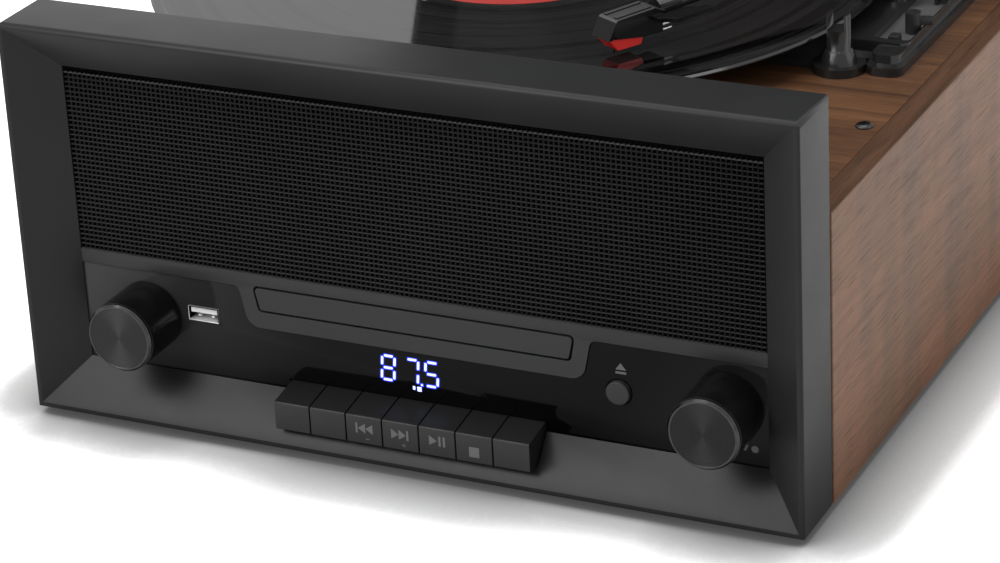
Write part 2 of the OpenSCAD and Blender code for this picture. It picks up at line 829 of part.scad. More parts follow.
module base_shell(tray_x0, tray_x1, tray_front) {
  difference() {
    union() {
      z_slab(deck_top, deck_top + 3.5) base_outline();
      z_slab(deck_top, base_z)
        round_rect(base_x0 + 4, base_x1 - 2.2, plate_y0 + 15, plate_y1 - 2.2, 4, 4);
      z_slab(deck_top, base_z - 1)
        round_rect(base_x0 + 22, base_x1 - 2.2, plate_y0 + 4, plate_y0 + 30, 4, 4);
      box(pivot_x - 11, base_x1 - 4, pivot_y - 38, pivot_y + 22, deck_low - 6, deck_top);
      rod_z(lift_x, lift_y, 7.4, base_z, base_z + 2.4);
    }
    z_slab(base_floor, base_z + cut)
      round_rect(tray_x0, tray_x1, tray_front, pivot_y - 10, 2, 2);
    box(pivot_x - 9, base_x1 - 6, pivot_y - 36, pivot_y + 20, deck_low - 6 - cut, base_floor - 2);
    rod_z(pivot_x, pivot_y, pivot_post_r + snug, base_z - 4, base_z + cut);
    rod_z(lift_x, lift_y, lift_stem_r + fit, deck_low - 7, base_z + 4);
    rod_z(speed_x, speed_y, speed_stem_r + fit, base_floor - 3, base_floor + cut);
    box(stop_x - 1, stop_x + 1, stop_y - 1.6, stop_y + stop_travel + 1.6,
      base_floor - 2.6, base_floor + cut);
  }
}

module spindle() {
  tip = 9;
  color(steel) in_cabinet() translate([-spindle_x, spindle_y, deck_top - well_depth + 2])
    rotate_extrude() polygon(concat(
      [[0, 0], [spindle_r, 0]],
      arc(0, record_top + tip - spindle_r - (deck_top - well_depth + 2), spindle_r, 0, 90, 6)));
}

module motor() {
  top = deck_top - well_depth;
  color(steel) in_cabinet() {
    translate([motor_x, motor_y, top - motor_h]) rotate_extrude() polygon([
      [0, 0], [motor_r - 1.5, 0], [motor_r, 1.5], [motor_r, motor_h - 1], [motor_r - 1, motor_h],
        [5, motor_h], [5, motor_h + 2], [1 + fit, motor_h + 2], [1 + fit, motor_h - 6],
      [0, motor_h - 6]]);
  }
}

// The belt: a loop from tangent to tangent round the drive ring and the pulley
module belt_loop(grow) {
  big = drive_r + grow;
  small = pulley_r + grow;
  tangent = acos((big - small) / motor_reach);
  translate([-spindle_x, spindle_y]) rotate(motor_angle) polygon(concat(
    arc(0, 0, big, tangent, 360 - tangent, 60),
    arc(motor_reach, 0, small, -tangent, tangent, 12)));
}

module drive_belt() {
  color(soft_black) in_cabinet() z_slab(belt_z, belt_z + belt_w) difference() {
    belt_loop(seat + belt_t);
    belt_loop(seat);
  }
}

// Arm rest: a post on a cone, with a slot for the tube between its two prongs
module arm_rest() {
  cone_z = deck_top + 3.5;
  slot = 2 * tube_r + 0.8;
  slot_z = prong_top - 6;
  color(soft_black) in_cabinet() difference() {
    union() {
      translate([rest_x, rest_y, 0]) rotate_extrude() polygon([
        [0, cone_z], [7.4, cone_z], [7, cone_z + 1.2], [5.4, cone_z + 5], [rest_r, cone_z + 5.6],
        [rest_r, prong_top], [0, prong_top]]);
      rest_web();
    }
    box(rest_x - slot / 2, rest_x + slot / 2, rest_y - 8, rest_y + 8, slot_z, prong_top + cut);
    box(rest_x - slot / 2 - 3, rest_x + slot / 2 + 3, rest_y - 8, rest_y - rest_r + 1.4,
      slot_z + 1, prong_top + cut);
  }
}

// The curved rib behind the post
module rest_web() {
  top = prong_top - 9;
  low = deck_top + base_h;
  x_slab(rest_x - 1, rest_x + 1) difference() {
    translate([rest_y, low]) square([12, top - low]);
    translate([rest_y + 14, top + 1]) circle(9.6);
  }
}

module pivot_post() {
  color(steel) in_cabinet() translate([pivot_x, pivot_y, 0]) rotate_extrude() polygon([
    [0, base_z - 4], [pivot_post_r, base_z - 4], [pivot_post_r, base_z + 4],
    [pivot_post_r - 1.5, yoke_z0 - seat], [2, yoke_z0 - seat], [2, yoke_z0 + 3], [0, yoke_z0 + 3]]);
}

module transport_screws() {
  head_r = 3.3;
  head_h = 1.6;
  color(soft_black) in_cabinet()
    for (side = [-1, 1])
      translate([side * screw_x, screw_y, 0]) difference() {
        union() {
          translate([0, 0, deck_top]) rotate_extrude() polygon([
            [0, 0], [head_r, 0], [head_r, 0.5], [head_r - 0.9, head_h - 0.3], [1.2, head_h],
            [0, head_h]]);
          rod_z(0, 0, screw_r, deck_low - 8, deck_top + 0.2);
        }
        for (turn = [0, 90])
          rotate(turn) translate([-2, -0.4, deck_top + 0.7]) cube([4, 0.8, 2]);
      }
}

// Fixed halves of the cover's hinges, each with its pin
module cover_brackets() {
  color(soft_black) in_cabinet()
    for (side = [-1, 1]) {
      box(side * hinge_x - hinge_w / 2, side * hinge_x + hinge_w / 2, cabinet_d, cabinet_d + 2,
        hinge_z - 26, deck_top - 0.2);
      for (end = [-1, 1]) difference() {
        union() {
          rod_x(hinge_y, hinge_z, hinge_r, ear_x(side, end) - 3, ear_x(side, end) + 3);
          box(ear_x(side, end) - 3, ear_x(side, end) + 3, cabinet_d, hinge_y + hinge_r,
            hinge_z - 20, hinge_z);
        }
        box(ear_x(side, end) - 4, ear_x(side, end) + 4, hinge_y + 1, hinge_y + 6,
          hinge_z - 30, hinge_z - 12);
      }
      rod_x(hinge_y, hinge_z, hinge_pin_r, side * hinge_x - hinge_w / 2 + 1,
        side * hinge_x + hinge_w / 2 - 1);
    }
}

function ear_x(side, end) = side * hinge_x + end * (hinge_w / 2 - 3);

module platter() {
  rim_t = 2.4;
  color(soft_black) in_cabinet() translate([-spindle_x, spindle_y, 0]) rotate_extrude() {
    difference() {
      translate([spindle_r + fit, platter_low]) square([platter_r - spindle_r - fit,
        platter_top - platter_low]);
      translate([9, platter_low - cut]) square([drive_r - 3 - 9, platter_top - platter_t + cut
        - platter_low]);
      translate([drive_r, platter_low - cut]) square([platter_r - rim_t - drive_r,
        platter_top - platter_t + cut - platter_low]);
    }
  }
}

module slip_mat() {
  color(soft_black) in_cabinet() z_slab(platter_top, record_low) difference() {
    translate([-spindle_x, spindle_y]) circle(platter_r - 1.5);
    translate([-spindle_x, spindle_y]) circle(spindle_r + 0.3);
  }
}

// The record, thicker at its edge and under its label than in the grooves
module record() {
  dip = 0.2;
  color([0.03, 0.03, 0.035]) in_cabinet() translate([-spindle_x, spindle_y, 0])
    rotate_extrude() polygon([
      [spindle_r + fit, record_low], [record_r - 1, record_low], [record_r, record_low + 0.7],
      [record_r, record_top - 0.7], [record_r - 1, record_top], [record_r - 3.4, record_top],
      [record_r - 4.6, record_top - dip], [label_r + 6, record_top - dip],
      [label_r + 3, record_top], [spindle_r + fit, record_top]]);
}

module record_label() {
  paper = 0.12;
  color(label_red) in_cabinet() z_slab(record_top, record_top + paper) difference() {
    translate([-spindle_x, spindle_y]) circle(label_r);
    translate([-spindle_x, spindle_y]) circle(spindle_r + fit);
  }
}

module motor_pulley() {
  low = belt_z - 0.6;
  top = belt_z + belt_w + 0.6;
  color(steel) in_cabinet() translate([motor_x, motor_y, 0]) rotate_extrude() polygon([
    [0, deck_top - well_depth - 5.6], [1, deck_top - well_depth - 5.6], [1, low],
    [pulley_r + 1.4, low], [pulley_r, low + 0.6], [pulley_r, top - 0.6],
    [pulley_r + 1, top - 0.1], [pulley_r + 1, top], [0, top]]);
}

// Children are drawn straight ahead of the pivot, which is at the origin
module on_arm(tilt = arm_tilt) {
  in_cabinet() translate([pivot_x, pivot_y, tube_z]) rotate(-arm_angle) rotate([tilt, 0, 0])
    translate([0, 0, -tube_z]) children();
}

module arm_yoke() {
  color(frame_grey) on_arm(0) difference() {
    union() {
      rod_z(0, 0, 9.5, yoke_z0, yoke_z0 + 3.6);
      box(-yoke_half, yoke_half, -4.5, 4.5, yoke_z0, yoke_z0 + 3.6);
      for (side = [-1, 1]) {
        box(side * (yoke_half - yoke_t / 2) - yoke_t / 2, side * (yoke_half - yoke_t / 2) + yoke_t / 2,
          -4.5, 4.5, yoke_z0, tube_z);
        rod_x(0, tube_z, 4.5, side * (yoke_half - yoke_t / 2) - yoke_t / 2,
          side * (yoke_half - yoke_t / 2) + yoke_t / 2);
      }
    }
    rod_z(0, 0, 2 + fit, yoke_z0 - cut, yoke_z0 + 3.2);
    rod_x(0, tube_z, pin_r + fit, -yoke_half - cut, yoke_half + cut);
  }
}

// The tube with its bearing block, its cross pin and the weight behind the pivot
module arm_tube() {
  color(steel) on_arm() {
    rod_y(0, tube_z, tube_r, -tube_front, tube_rear);
    translate([0, 0, tube_z]) rotate([90, 0, 0]) translate([0, 0, -8]) cylinder(r = 5.4, h = 16);
    rod_x(0, tube_z, pin_r, -yoke_half + 0.4, yoke_half - 0.4);
    translate([0, tube_rear + 2, tube_z]) rotate([90, 0, 0]) rotate_extrude() polygon([
      [0, 0], [7.2, 0], [8, 0.8], [8, 15.2], [7.2, 16], [0, 16]]);
  }
}

// Headshell: a ribbed roof over the cartridge, with a finger lift on its outer side
shell_front = arm_l + 6;
shell_rear = tube_front - 10;
shell_z1 = tube_z + 2.6;
shell_half = 5.4;
cart_z1 = tube_z - 3.6;

module headshell() {
  sleeve_r = 4;
  color(frame_grey) on_arm() difference() {
    union() {
      x_slab(-shell_half, shell_half) polygon([
        [-shell_front, cart_z1 - 1], [-shell_front + 4, shell_z1 - 0.6],
        [-shell_front + 5, shell_z1], [-tube_front - 4, shell_z1], [-tube_front + 1, tube_z],
        [-tube_front, cart_z1], [-shell_front + 3, cart_z1], [-shell_front + 2, cart_z1 - 1]]);
      rod_y(0, tube_z, sleeve_r, -tube_front - 0.4, -shell_rear);
      for (side = [-1, 1])
        box(side * 3.2 - 0.8, side * 3.2 + 0.8, -shell_front + 5.4, -tube_front - 5,
          shell_z1 - 0.5, shell_z1 + 0.6);
      finger_lift();
    }
    rod_y(0, tube_z, tube_r + snug, -tube_front - 0.1, -shell_rear + cut);
  }
}

module finger_lift() {
  reach = 9;
  lever = 22;
  z0 = shell_z1 - 4.4;
  z_slab(z0, z0 + 1.6) difference() {
    translate([0, -tube_front - 6]) square([shell_half + reach, lever]);
    translate([shell_half + reach + 3, -tube_front - 10]) circle(9);
    translate([-cut, -tube_front - 1]) square([shell_half + 1 + cut, lever]);
    translate([shell_half - 2, -tube_front - 6 + lever]) circle(7.6);
  }
}

module cartridge() {
  color(soft_black) on_arm() x_slab(-4.8, 4.8) polygon([
    [-shell_front + 4, cart_z1], [-tube_front - 0.5, cart_z1], [-tube_front - 0.5, groove_z + 4.2],
    [-shell_front + 17, groove_z + 4.8], [-shell_front + 8, groove_z + 6.6],
    [-shell_front + 4, groove_z + 7.4]]);
}

// Stylus carrier: the wedge under the front of the cartridge
module stylus() {
  point = 0.3;
  color(stylus_red) on_arm() {
    x_slab(-4.2, 4.2) polygon([
      [-shell_front + 1.4, groove_z + 7.2], [-shell_front + 4, groove_z + 7.4],
      [-shell_front + 8, groove_z + 6.6], [-shell_front + 17, groove_z + 4.8],
      [-shell_front + 16, groove_z + 2.2], [-shell_front + 5, groove_z + 2.6]]);
    rod_z(0, -arm_l, 0.4, groove_z + point, groove_z + 3);
  }
}

// The bar under the arm: it follows the arm's swing from the inner grooves to the rest
module lift_platform() {
  inner_swing = 24;
  color(soft_black) in_cabinet() {
    translate([pivot_x, pivot_y, lift_top - lift_bar_t]) rotate(-90 - arm_angle - inner_swing)
      rotate_extrude(angle = arm_angle + inner_swing + 6) translate([lift_r - lift_bar_w / 2, 0])
        square([lift_bar_w, lift_bar_t]);
    rod_z(lift_x, lift_y, lift_stem_r, deck_low - 2, lift_top - lift_bar_t + 0.2);
  }
}

module cue_lever() {
  handle = 24;
  lean = 25;
  color(soft_black) in_cabinet() {
    rod_x(cue_y, cue_z, pin_r, cue_x - cue_half - 1, cue_x + cue_half + 1);
    rod_x(cue_y, cue_z, cue_r, cue_x - cue_half, cue_x + cue_half);
    translate([cue_x, cue_y, cue_z]) rotate([-lean, 0, 0]) {
      translate([-cue_half, -1.4, 0]) cube([2 * cue_half, 2.8, handle]);
      translate([-3, 0, handle]) rotate([0, 90, 0]) cylinder(r = 2.8, h = 6);
    }
  }
}

module speed_switch() {
  color(soft_black) in_cabinet() translate([speed_x, speed_y, 0]) {
    rod_z(0, 0, speed_stem_r, base_floor - 2.6, base_floor + 1);
    rod_z(0, 0, 3.1, base_floor + seat, base_floor + 8.5);
    rotate(18) translate([1, -1.3, base_floor + 3.4]) cube([6.4, 2.6, 3]);
  }
}

module auto_stop_switch() {
  color(soft_black) in_cabinet() {
    box(stop_x - 2, stop_x + 2, stop_y - 2.4, stop_y + 2.4, base_floor + seat, base_floor + 3.8);
    box(stop_x - 0.7, stop_x + 0.7, stop_y - 1.2, stop_y + 1.2, base_floor - 2.2,
      base_floor + 1);
  }
}

module disc_tray() {
  small_well_r = 40.6;
  color(soft_black) in_cabinet() difference() {
    box(-tray_w / 2, tray_w / 2, tray_y0, tray_y1, tray_z0, tray_z0 + tray_t);
    rod_z(0, disc_y, disc_well_r, tray_z0 + tray_t - disc_well_d, tray_z0 + tray_t + cut);
    rod_z(0, disc_y, small_well_r, tray_z0 + tray_t - disc_well_d - 0.9, tray_z0 + tray_t + cut);
    rod_z(0, disc_y, hub_r + 4, tray_z0 - cut, tray_z0 + tray_t + cut);
    box(-hub_r - 4, hub_r + 4, disc_y, disc_y + 56, tray_z0 - cut, tray_z0 + tray_t + cut);
  }
}

module drawer_front() {
  color(fascia_grey) in_cabinet() y_slab(recess_d - 0.2, tray_y0)
    round_trapezoid(drawer_top, drawer_low, drawer_z0, drawer_z1, 1.4);
}

module disc_hub() {
  low = disc_floor + seat;
  color(steel) in_cabinet() translate([0, disc_y, 0]) rotate_extrude() polygon([
    [0, disc_floor - 7], [1.5, disc_floor - 7], [1.5, low], [hub_r, low],
    [hub_r, tray_z0 - 2], [7, tray_z0 - 1], [0, tray_z0 - 1]]);
}

// The sled hangs in a slot of the floor and slides on it
module laser_sled() {
  y0 = disc_y + hub_r + 5;
  color(steel) in_cabinet() {
    box(-sled_half, sled_half, y0, y0 + sled_l, disc_floor - disc_floor_t, disc_floor + 2);
    box(-sled_half - 4, sled_half + 4, y0, y0 + sled_l, disc_floor, disc_floor + 2);
    rod_z(0, y0 + sled_l / 2, 4, disc_floor + 2, disc_floor + 4);
  }
}

function key_mid(i) = (i - (key_count - 1) / 2) * key_pitch;

// A play key: an upright face, a top that climbs to the fascia and a stem behind
module play_key(i) {
  half = (key_pitch - key_gap) / 2;
  nose = 0.3;
  climb_end = gloss_y;
  color(fascia_grey) in_cabinet() {
    x_slab(key_mid(i) - half, key_mid(i) + half) polygon([
      [-nose, key_z0 + 0.4], [-nose + 0.4, key_z0], [key_back, key_z0],
      [key_back, key_z1 + key_climb - 0.6], [climb_end, key_z1 + key_climb],
      [-nose + 0.5, key_z1 + 0.1], [-nose, key_z1 - 0.4]]);
  }
}

module standby_key() { play_key(0); }
module function_key() { play_key(1); }
module previous_key() { play_key(2); }
module next_key() { play_key(3); }
module play_pause_key() { play_key(4); }
module stop_key() { play_key(5); }
module record_key() { play_key(6); }

eject_back = gloss_y + gloss_t + 2;

module eject_button() {
  color(fascia_grey) in_cabinet()
    translate([eject_x, eject_back, eject_axis_z]) rotate([90, 0, 0]) rotate_extrude() polygon([
      [0, 0], [eject_r + 1.4, 0], [eject_r + 1.4, 1.2], [eject_r, 1.2],
      [eject_r, eject_back - gloss_y + eject_out - 0.4],
      [eject_r - 0.4, eject_back - gloss_y + eject_out], [0, eject_back - gloss_y + eject_out]]);
}

// A knob: a thin round wall, a hub on the shaft and a face with a turned edge
module knob(x) {
  wall = 1.6;
  face_t = 2.4;
  start = 0.5;
  color(soft_black) in_cabinet() translate([x, gloss_y, knob_axis_z]) rotate([90, 0, 0])
    rotate_extrude() polygon([
      [0, -shaft_in], [shaft_r, -shaft_in], [shaft_r, 1], [shaft_r + 3, 1],
      [shaft_r + 3, knob_l - face_t],
      [knob_r - wall, knob_l - face_t], [knob_r - wall, start], [knob_r, start],
      [knob_r, knob_l - 1], [knob_r - 1, knob_l], [0, knob_l]]);
}

module tuning_knob() { knob(-tuning_x); }
module volume_knob() { knob(volume_x); }

// The dust cover, drawn closed and then turned open about its hinge
module closed_cover() {
  inner_r = cover_r - cover_t;
  difference() {
    intersection() {
      z_slab(cover_z0, frame_top)
        round_rect(-half_w, half_w, cover_y0, cover_y1, cover_r, cover_r);
      x_slab(-half_w, half_w) {
        round_rect(cover_y0, cover_y1, cover_z0, frame_top, 0.01, cover_r);
      }
      y_slab(cover_y0, cover_y1)
        round_rect(-half_w, half_w, cover_z0, frame_top, 0.01, cover_r);
    }
    intersection() {
      z_slab(cover_z0 - cut, frame_top - cover_t)
        round_rect(-half_w + cover_t, half_w - cover_t, cover_y0 + cover_t, cover_y1 - cover_t,
          inner_r, inner_r);
      x_slab(-half_w, half_w)
        round_rect(cover_y0 + cover_t, cover_y1 - cover_t, cover_z0 - cut,
          frame_top - cover_t, 0.01, inner_r);
    }
    if (notch_half > 0)
      box(-half_w - cut, -half_w + 2 * cover_t, spindle_y - notch_half, spindle_y + notch_half,
        cover_z0 - cut, notch_top);
  }
}

module cover_ears() {
  ear = hinge_w / 2 - 6.4;
  for (side = [-1, 1]) difference() {
    union() {
      rod_x(hinge_y, hinge_z, hinge_r, side * hinge_x - ear, side * hinge_x + ear);
      box(side * hinge_x - ear, side * hinge_x + ear, cover_y1 - 0.5, hinge_y,
        hinge_z, hinge_z + hinge_r);
      box(side * hinge_x - ear, side * hinge_x + ear, cover_y1 - 0.5, cover_y1 + 1.4,
        hinge_z, hinge_z + 16);
    }
    rod_x(hinge_y, hinge_z, hinge_pin_r + fit, side * hinge_x - ear - cut,
      side * hinge_x + ear + cut);
  }
}

module dust_cover() {
  color(smoked) in_cabinet() translate([0, hinge_y, hinge_z]) rotate([-cover_open, 0, 0])
    translate([0, -hinge_y, -hinge_z]) {
      closed_cover();
      cover_ears();
    }
}

front_frame();
fascia();
gloss_panel();
speaker_grille();
front_baffle();
left_side_board();
right_side_board();
deck_board();
bottom_board();
rear_panel();
feet();
case_screws();
speakers();
front_board();
knob_controls();
display_module();
usb_socket();
main_board();
transformer();
rear_sockets();
disc_chassis();
disc_motor();
turntable_chassis();
arm_base();
spindle();
motor();
drive_belt();
arm_rest();
pivot_post();
transport_screws();
cover_brackets();
platter();
slip_mat();
record();
record_label();
motor_pulley();
arm_yoke();
arm_tube();
headshell();
cartridge();
stylus();
lift_platform();
cue_lever();
speed_switch();
auto_stop_switch();
disc_tray();
drawer_front();
disc_hub();
laser_sled();
standby_key();
function_key();
previous_key();
next_key();
play_pause_key();  // play_key
stop_key();
record_key();
eject_button();
tuning_knob();
volume_knob();
dust_cover();
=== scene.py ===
import json
import math

import bmesh
import bpy
from mathutils import Matrix, Vector


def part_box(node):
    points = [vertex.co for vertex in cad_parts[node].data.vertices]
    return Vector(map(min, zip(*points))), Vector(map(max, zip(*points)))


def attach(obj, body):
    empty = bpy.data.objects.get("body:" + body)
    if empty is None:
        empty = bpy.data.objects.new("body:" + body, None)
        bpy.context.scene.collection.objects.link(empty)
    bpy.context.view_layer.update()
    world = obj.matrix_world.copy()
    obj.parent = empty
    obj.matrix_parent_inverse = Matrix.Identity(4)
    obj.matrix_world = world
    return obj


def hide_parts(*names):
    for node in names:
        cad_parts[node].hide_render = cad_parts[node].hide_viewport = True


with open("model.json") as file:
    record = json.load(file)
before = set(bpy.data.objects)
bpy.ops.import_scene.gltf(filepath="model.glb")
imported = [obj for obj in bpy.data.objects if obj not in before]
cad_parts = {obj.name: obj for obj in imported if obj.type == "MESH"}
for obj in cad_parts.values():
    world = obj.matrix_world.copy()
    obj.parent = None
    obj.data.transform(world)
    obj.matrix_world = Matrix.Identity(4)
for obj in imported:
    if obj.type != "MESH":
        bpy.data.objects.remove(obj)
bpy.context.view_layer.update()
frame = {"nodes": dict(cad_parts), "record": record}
nodes = frame["nodes"]
bodyOf = {node: body for body, members in frame["record"]["behaviour"]["bodies"].items()
          for node in members}
slotOf = {part["node"]: part["material_slot"] for part in frame["record"]["subparts"]}

# The case's own measures: x from its middle, y back from the rim, z up from the table, in mm
frameLow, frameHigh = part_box("front_frame")
midX = (frameLow.x + frameHigh.x) / 2
rimY = frameLow.y


def place(x, y, z):
    return Vector((midX + x / 1000, rimY + y / 1000, z / 1000))


def middleOf(node):
    low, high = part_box(node)
    return (low + high) / 2


# The camera stands where the photograph was taken
view = {
    "place": (0.56422, -1.20795, 0.60019),
    "turn": (1.145409, 0.047904, 0.439399),
    "lens": 125.797,
}
camera = bpy.data.objects.new("camera", bpy.data.cameras.new("camera"))
camera.location = view["place"]
camera.rotation_euler = view["turn"]
camera.data.lens = view["lens"]
camera.data.sensor_width = 36
camera.data.clip_end = 20
bpy.context.scene.collection.objects.link(camera)
bpy.context.scene.camera = camera
print("camera placed")


# Shader helpers

def newFinish(name):
    mat = bpy.data.materials.new(name)
    mat.use_nodes = True
    tree = mat.node_tree
    return mat, tree, tree.nodes["Principled BSDF"]


def grey(value):
    return (value, value, value)


def calc(tree, operation, *values):
    node = tree.nodes.new("ShaderNodeMath")
    node.operation = operation
    for socket, value in zip(node.inputs, values):
        if isinstance(value, (int, float)):
            socket.default_value = value
        else:
            tree.links.new(value, socket)
    return node.outputs[0]


def objectPlaces(tree, scale=(1, 1, 1), centre=(0, 0, 0), turn=(0, 0, 0)):
    coords = tree.nodes.new("ShaderNodeTexCoord")
    shift = tree.nodes.new("ShaderNodeVectorMath")
    shift.operation = "SUBTRACT"
    shift.inputs[1].default_value = centre
    tree.links.new(coords.outputs["Object"], shift.inputs[0])
    mapping = tree.nodes.new("ShaderNodeMapping")
    mapping.inputs["Scale"].default_value = scale
    mapping.inputs["Rotation"].default_value = turn
    tree.links.new(shift.outputs[0], mapping.inputs["Vector"])
    return mapping.outputs["Vector"]


def splitPlaces(tree, places):
    split = tree.nodes.new("ShaderNodeSeparateXYZ")
    tree.links.new(places, split.inputs[0])
    return split.outputs


def ramp(tree, value, stops, easing="LINEAR"):
    node = tree.nodes.new("ShaderNodeValToRGB")
    node.color_ramp.interpolation = easing
    for spare in stops[2:]:
        node.color_ramp.elements.new(0.5)
    for element, (position, colour) in zip(node.color_ramp.elements, stops):
        element.position = position
        element.color = (*colour, 1)
    tree.links.new(value, node.inputs["Fac"])
    return node.outputs["Color"]


def blended(tree, factor, first, second, kind="MIX"):
    node = tree.nodes.new("ShaderNodeMix")
    node.data_type = "RGBA"
    node.blend_type = kind
    for name, value in (("Factor", factor), ("A", first), ("B", second)):
        socket = next(s for s in node.inputs if s.name == name and s.enabled)
        if isinstance(value, (int, float)):
            socket.default_value = value
        elif isinstance(value, tuple):
            socket.default_value = (*value, 1)
        else:
            tree.links.new(value, socket)
    return next(s for s in node.outputs if s.enabled)


def noise(tree, places, scale, detail=4.0, roughness=0.55):
    node = tree.nodes.new("ShaderNodeTexNoise")
    node.inputs["Scale"].default_value = scale
    node.inputs["Detail"].default_value = detail
    node.inputs["Roughness"].default_value = roughness
    tree.links.new(places, node.inputs["Vector"])
    return node.outputs["Fac"]


def addBump(tree, shader, height, strength, distance):
    bump = tree.nodes.new("ShaderNodeBump")
    bump.inputs["Strength"].default_value = strength
    bump.inputs["Distance"].default_value = distance
    tree.links.new(height, bump.inputs["Height"])
    tree.links.new(bump.outputs["Normal"], shader.inputs["Normal"])
    return bump


def mouldedPlastic(name, dark, light, rough, grain, grainScale=2400, specular=0.25):
    mat, tree, shader = newFinish(name)
    places = objectPlaces(tree)
    cloud = noise(tree, places, 14, 3)
    fine = noise(tree, places, grainScale, 2)
    mottled = calc(tree, "ADD", calc(tree, "MULTIPLY", cloud, 0.7), calc(tree, "MULTIPLY", fine, 0.3))
    tree.links.new(ramp(tree, mottled, [(0.36, dark), (0.64, light)]), shader.inputs["Base Color"])
    addBump(tree, shader, fine, 0.35, grain)
    smear = noise(tree, places, 60, 5)
    tree.links.new(ramp(tree, smear, [(0.25, grey(rough * 0.9)), (0.75, grey(rough * 1.1))]),
                   shader.inputs["Roughness"])
    shader.inputs["Specular IOR Level"].default_value = specular
    return mat


def alongGrain(grainAlong, along, across):
    scale = [across] * 3
    scale["xyz".index(grainAlong)] = along
    return tuple(scale)


def walnutVeneer(name, grainAlong, tones, contrast=1.0, figureSheen=0.0, seed=0.0, specular=0.3):
    mat, tree, shader = newFinish(name)
    shift = (seed, seed * 0.7, seed * 1.3)
    bend = noise(tree, objectPlaces(tree, scale=alongGrain(grainAlong, 4.0, 9.0), centre=shift), 1.0, 2)
    lines = objectPlaces(tree, scale=alongGrain(grainAlong, 1.7, 46.0), centre=shift)
    warp = tree.nodes.new("ShaderNodeVectorMath")
    warp.operation = "MULTIPLY_ADD"
    tree.links.new(bend, warp.inputs[0])
    warp.inputs[1].default_value = (1.8, 1.8, 1.8)
    tree.links.new(lines, warp.inputs[2])
    broad = noise(tree, warp.outputs[0], 1.0, 4, 0.58)
    dark, mid, light = tones
    colour = ramp(tree, broad, [(0.30, dark), (0.45, mid), (0.58, light), (0.72, mid)], "B_SPLINE")
    streaks = noise(tree, objectPlaces(tree, scale=alongGrain(grainAlong, 5.5, 330.0), centre=shift),
                    1.0, 4, 0.6)
    colour = blended(tree, 1.0, colour,
                     ramp(tree, streaks, [(0.32, grey(1 - 0.42 * contrast)),
                                          (0.64, grey(1 + 0.14 * contrast))]), "MULTIPLY")
    pores = noise(tree, objectPlaces(tree, scale=alongGrain(grainAlong, 60.0, 2000.0), centre=shift),
                  1.0, 2, 0.6)
    colour = blended(tree, 1.0, colour, ramp(tree, pores, [(0.34, grey(1 - 0.5 * contrast)),
                                                           (0.46, grey(1.0))]), "MULTIPLY")
    if figureSheen:
        # Broad bands across the grain: the wood's figure, with its shimmer painted in as a sheen
        bands = noise(tree, objectPlaces(tree, scale=alongGrain(grainAlong, 52.0, 7.0), centre=shift,
                                         turn=(0.25, 0.0, 0.0)), 1.0, 2, 0.5)
        colour = blended(tree, figureSheen, colour,
                         ramp(tree, bands, [(0.38, (0.74, 0.80, 0.88)), (0.60, (1.18, 1.08, 1.0))]),
                         "MULTIPLY")
    tree.links.new(colour, shader.inputs["Base Color"])
    tree.links.new(ramp(tree, pores, [(0.34, grey(0.52)), (0.5, grey(0.42))]),
                   shader.inputs["Roughness"])
    shader.inputs["Specular IOR Level"].default_value = specular
    addBump(tree, shader, pores, 0.15 * contrast, 0.00006)
    return mat


def ringParts(tree, centre, axis):
    # Angle round an axis, distance from it, and the outward direction in the turned piece's plane
    places = objectPlaces(tree, centre=centre)
    parts = splitPlaces(tree, places)
    flat = tree.nodes.new("ShaderNodeVectorMath")
    flat.operation = "MULTIPLY"
    flat.inputs[1].default_value = [0 if c == axis else 1 for c in "xyz"]
    tree.links.new(places, flat.inputs[0])
    reach = tree.nodes.new("ShaderNodeVectorMath")
    reach.operation = "LENGTH"
    tree.links.new(flat.outputs[0], reach.inputs[0])
    first, second = [c for c in "XYZ" if c != axis.upper()]
    angle = calc(tree, "ARCTAN2", parts[first], parts[second])
    outward = tree.nodes.new("ShaderNodeVectorTransform")
    outward.vector_type = "VECTOR"
    outward.convert_from = "OBJECT"
    outward.convert_to = "WORLD"
    tree.links.new(flat.outputs[0], outward.inputs[0])
    return angle, reach.outputs["Value"], outward.outputs[0]


def ringPlaces(tree, reach, angle, reachScale, angleScale):
    joined = tree.nodes.new("ShaderNodeCombineXYZ")
    tree.links.new(calc(tree, "MULTIPLY", reach, reachScale), joined.inputs[0])
    tree.links.new(calc(tree, "MULTIPLY", angle, angleScale), joined.inputs[1])
    return joined.outputs[0]


def turnedFinish(name, centre, axis, dark, light, rough, metallic, stretch=0.6, specular=0.5):
    mat, tree, shader = newFinish(name)
    angle, reach, outward = ringParts(tree, centre, axis)
    rings = noise(tree, ringPlaces(tree, reach, angle, 5200, 0.8), 1.0, 2, 0.6)
    colour = ramp(tree, rings, [(0.3, dark), (0.7, light)])
    # A painted sheen brightens the turned face towards two opposite sides
    paintedSheen = calc(tree, "POWER", calc(tree, "ABSOLUTE", calc(tree, "COSINE", angle)), 7.0)
    colour = blended(tree, 1.0, colour, ramp(tree, paintedSheen, [(0.0, grey(0.8)), (1.0, grey(1.6))]),
                     "MULTIPLY")
    tree.links.new(colour, shader.inputs["Base Color"])
    addBump(tree, shader, rings, 0.35, 0.00002)
    tree.links.new(outward, shader.inputs["Tangent"])
    shader.inputs["Metallic"].default_value = metallic
    shader.inputs["Roughness"].default_value = rough
    shader.inputs["Anisotropic"].default_value = stretch
    shader.inputs["Specular IOR Level"].default_value = specular
    return mat


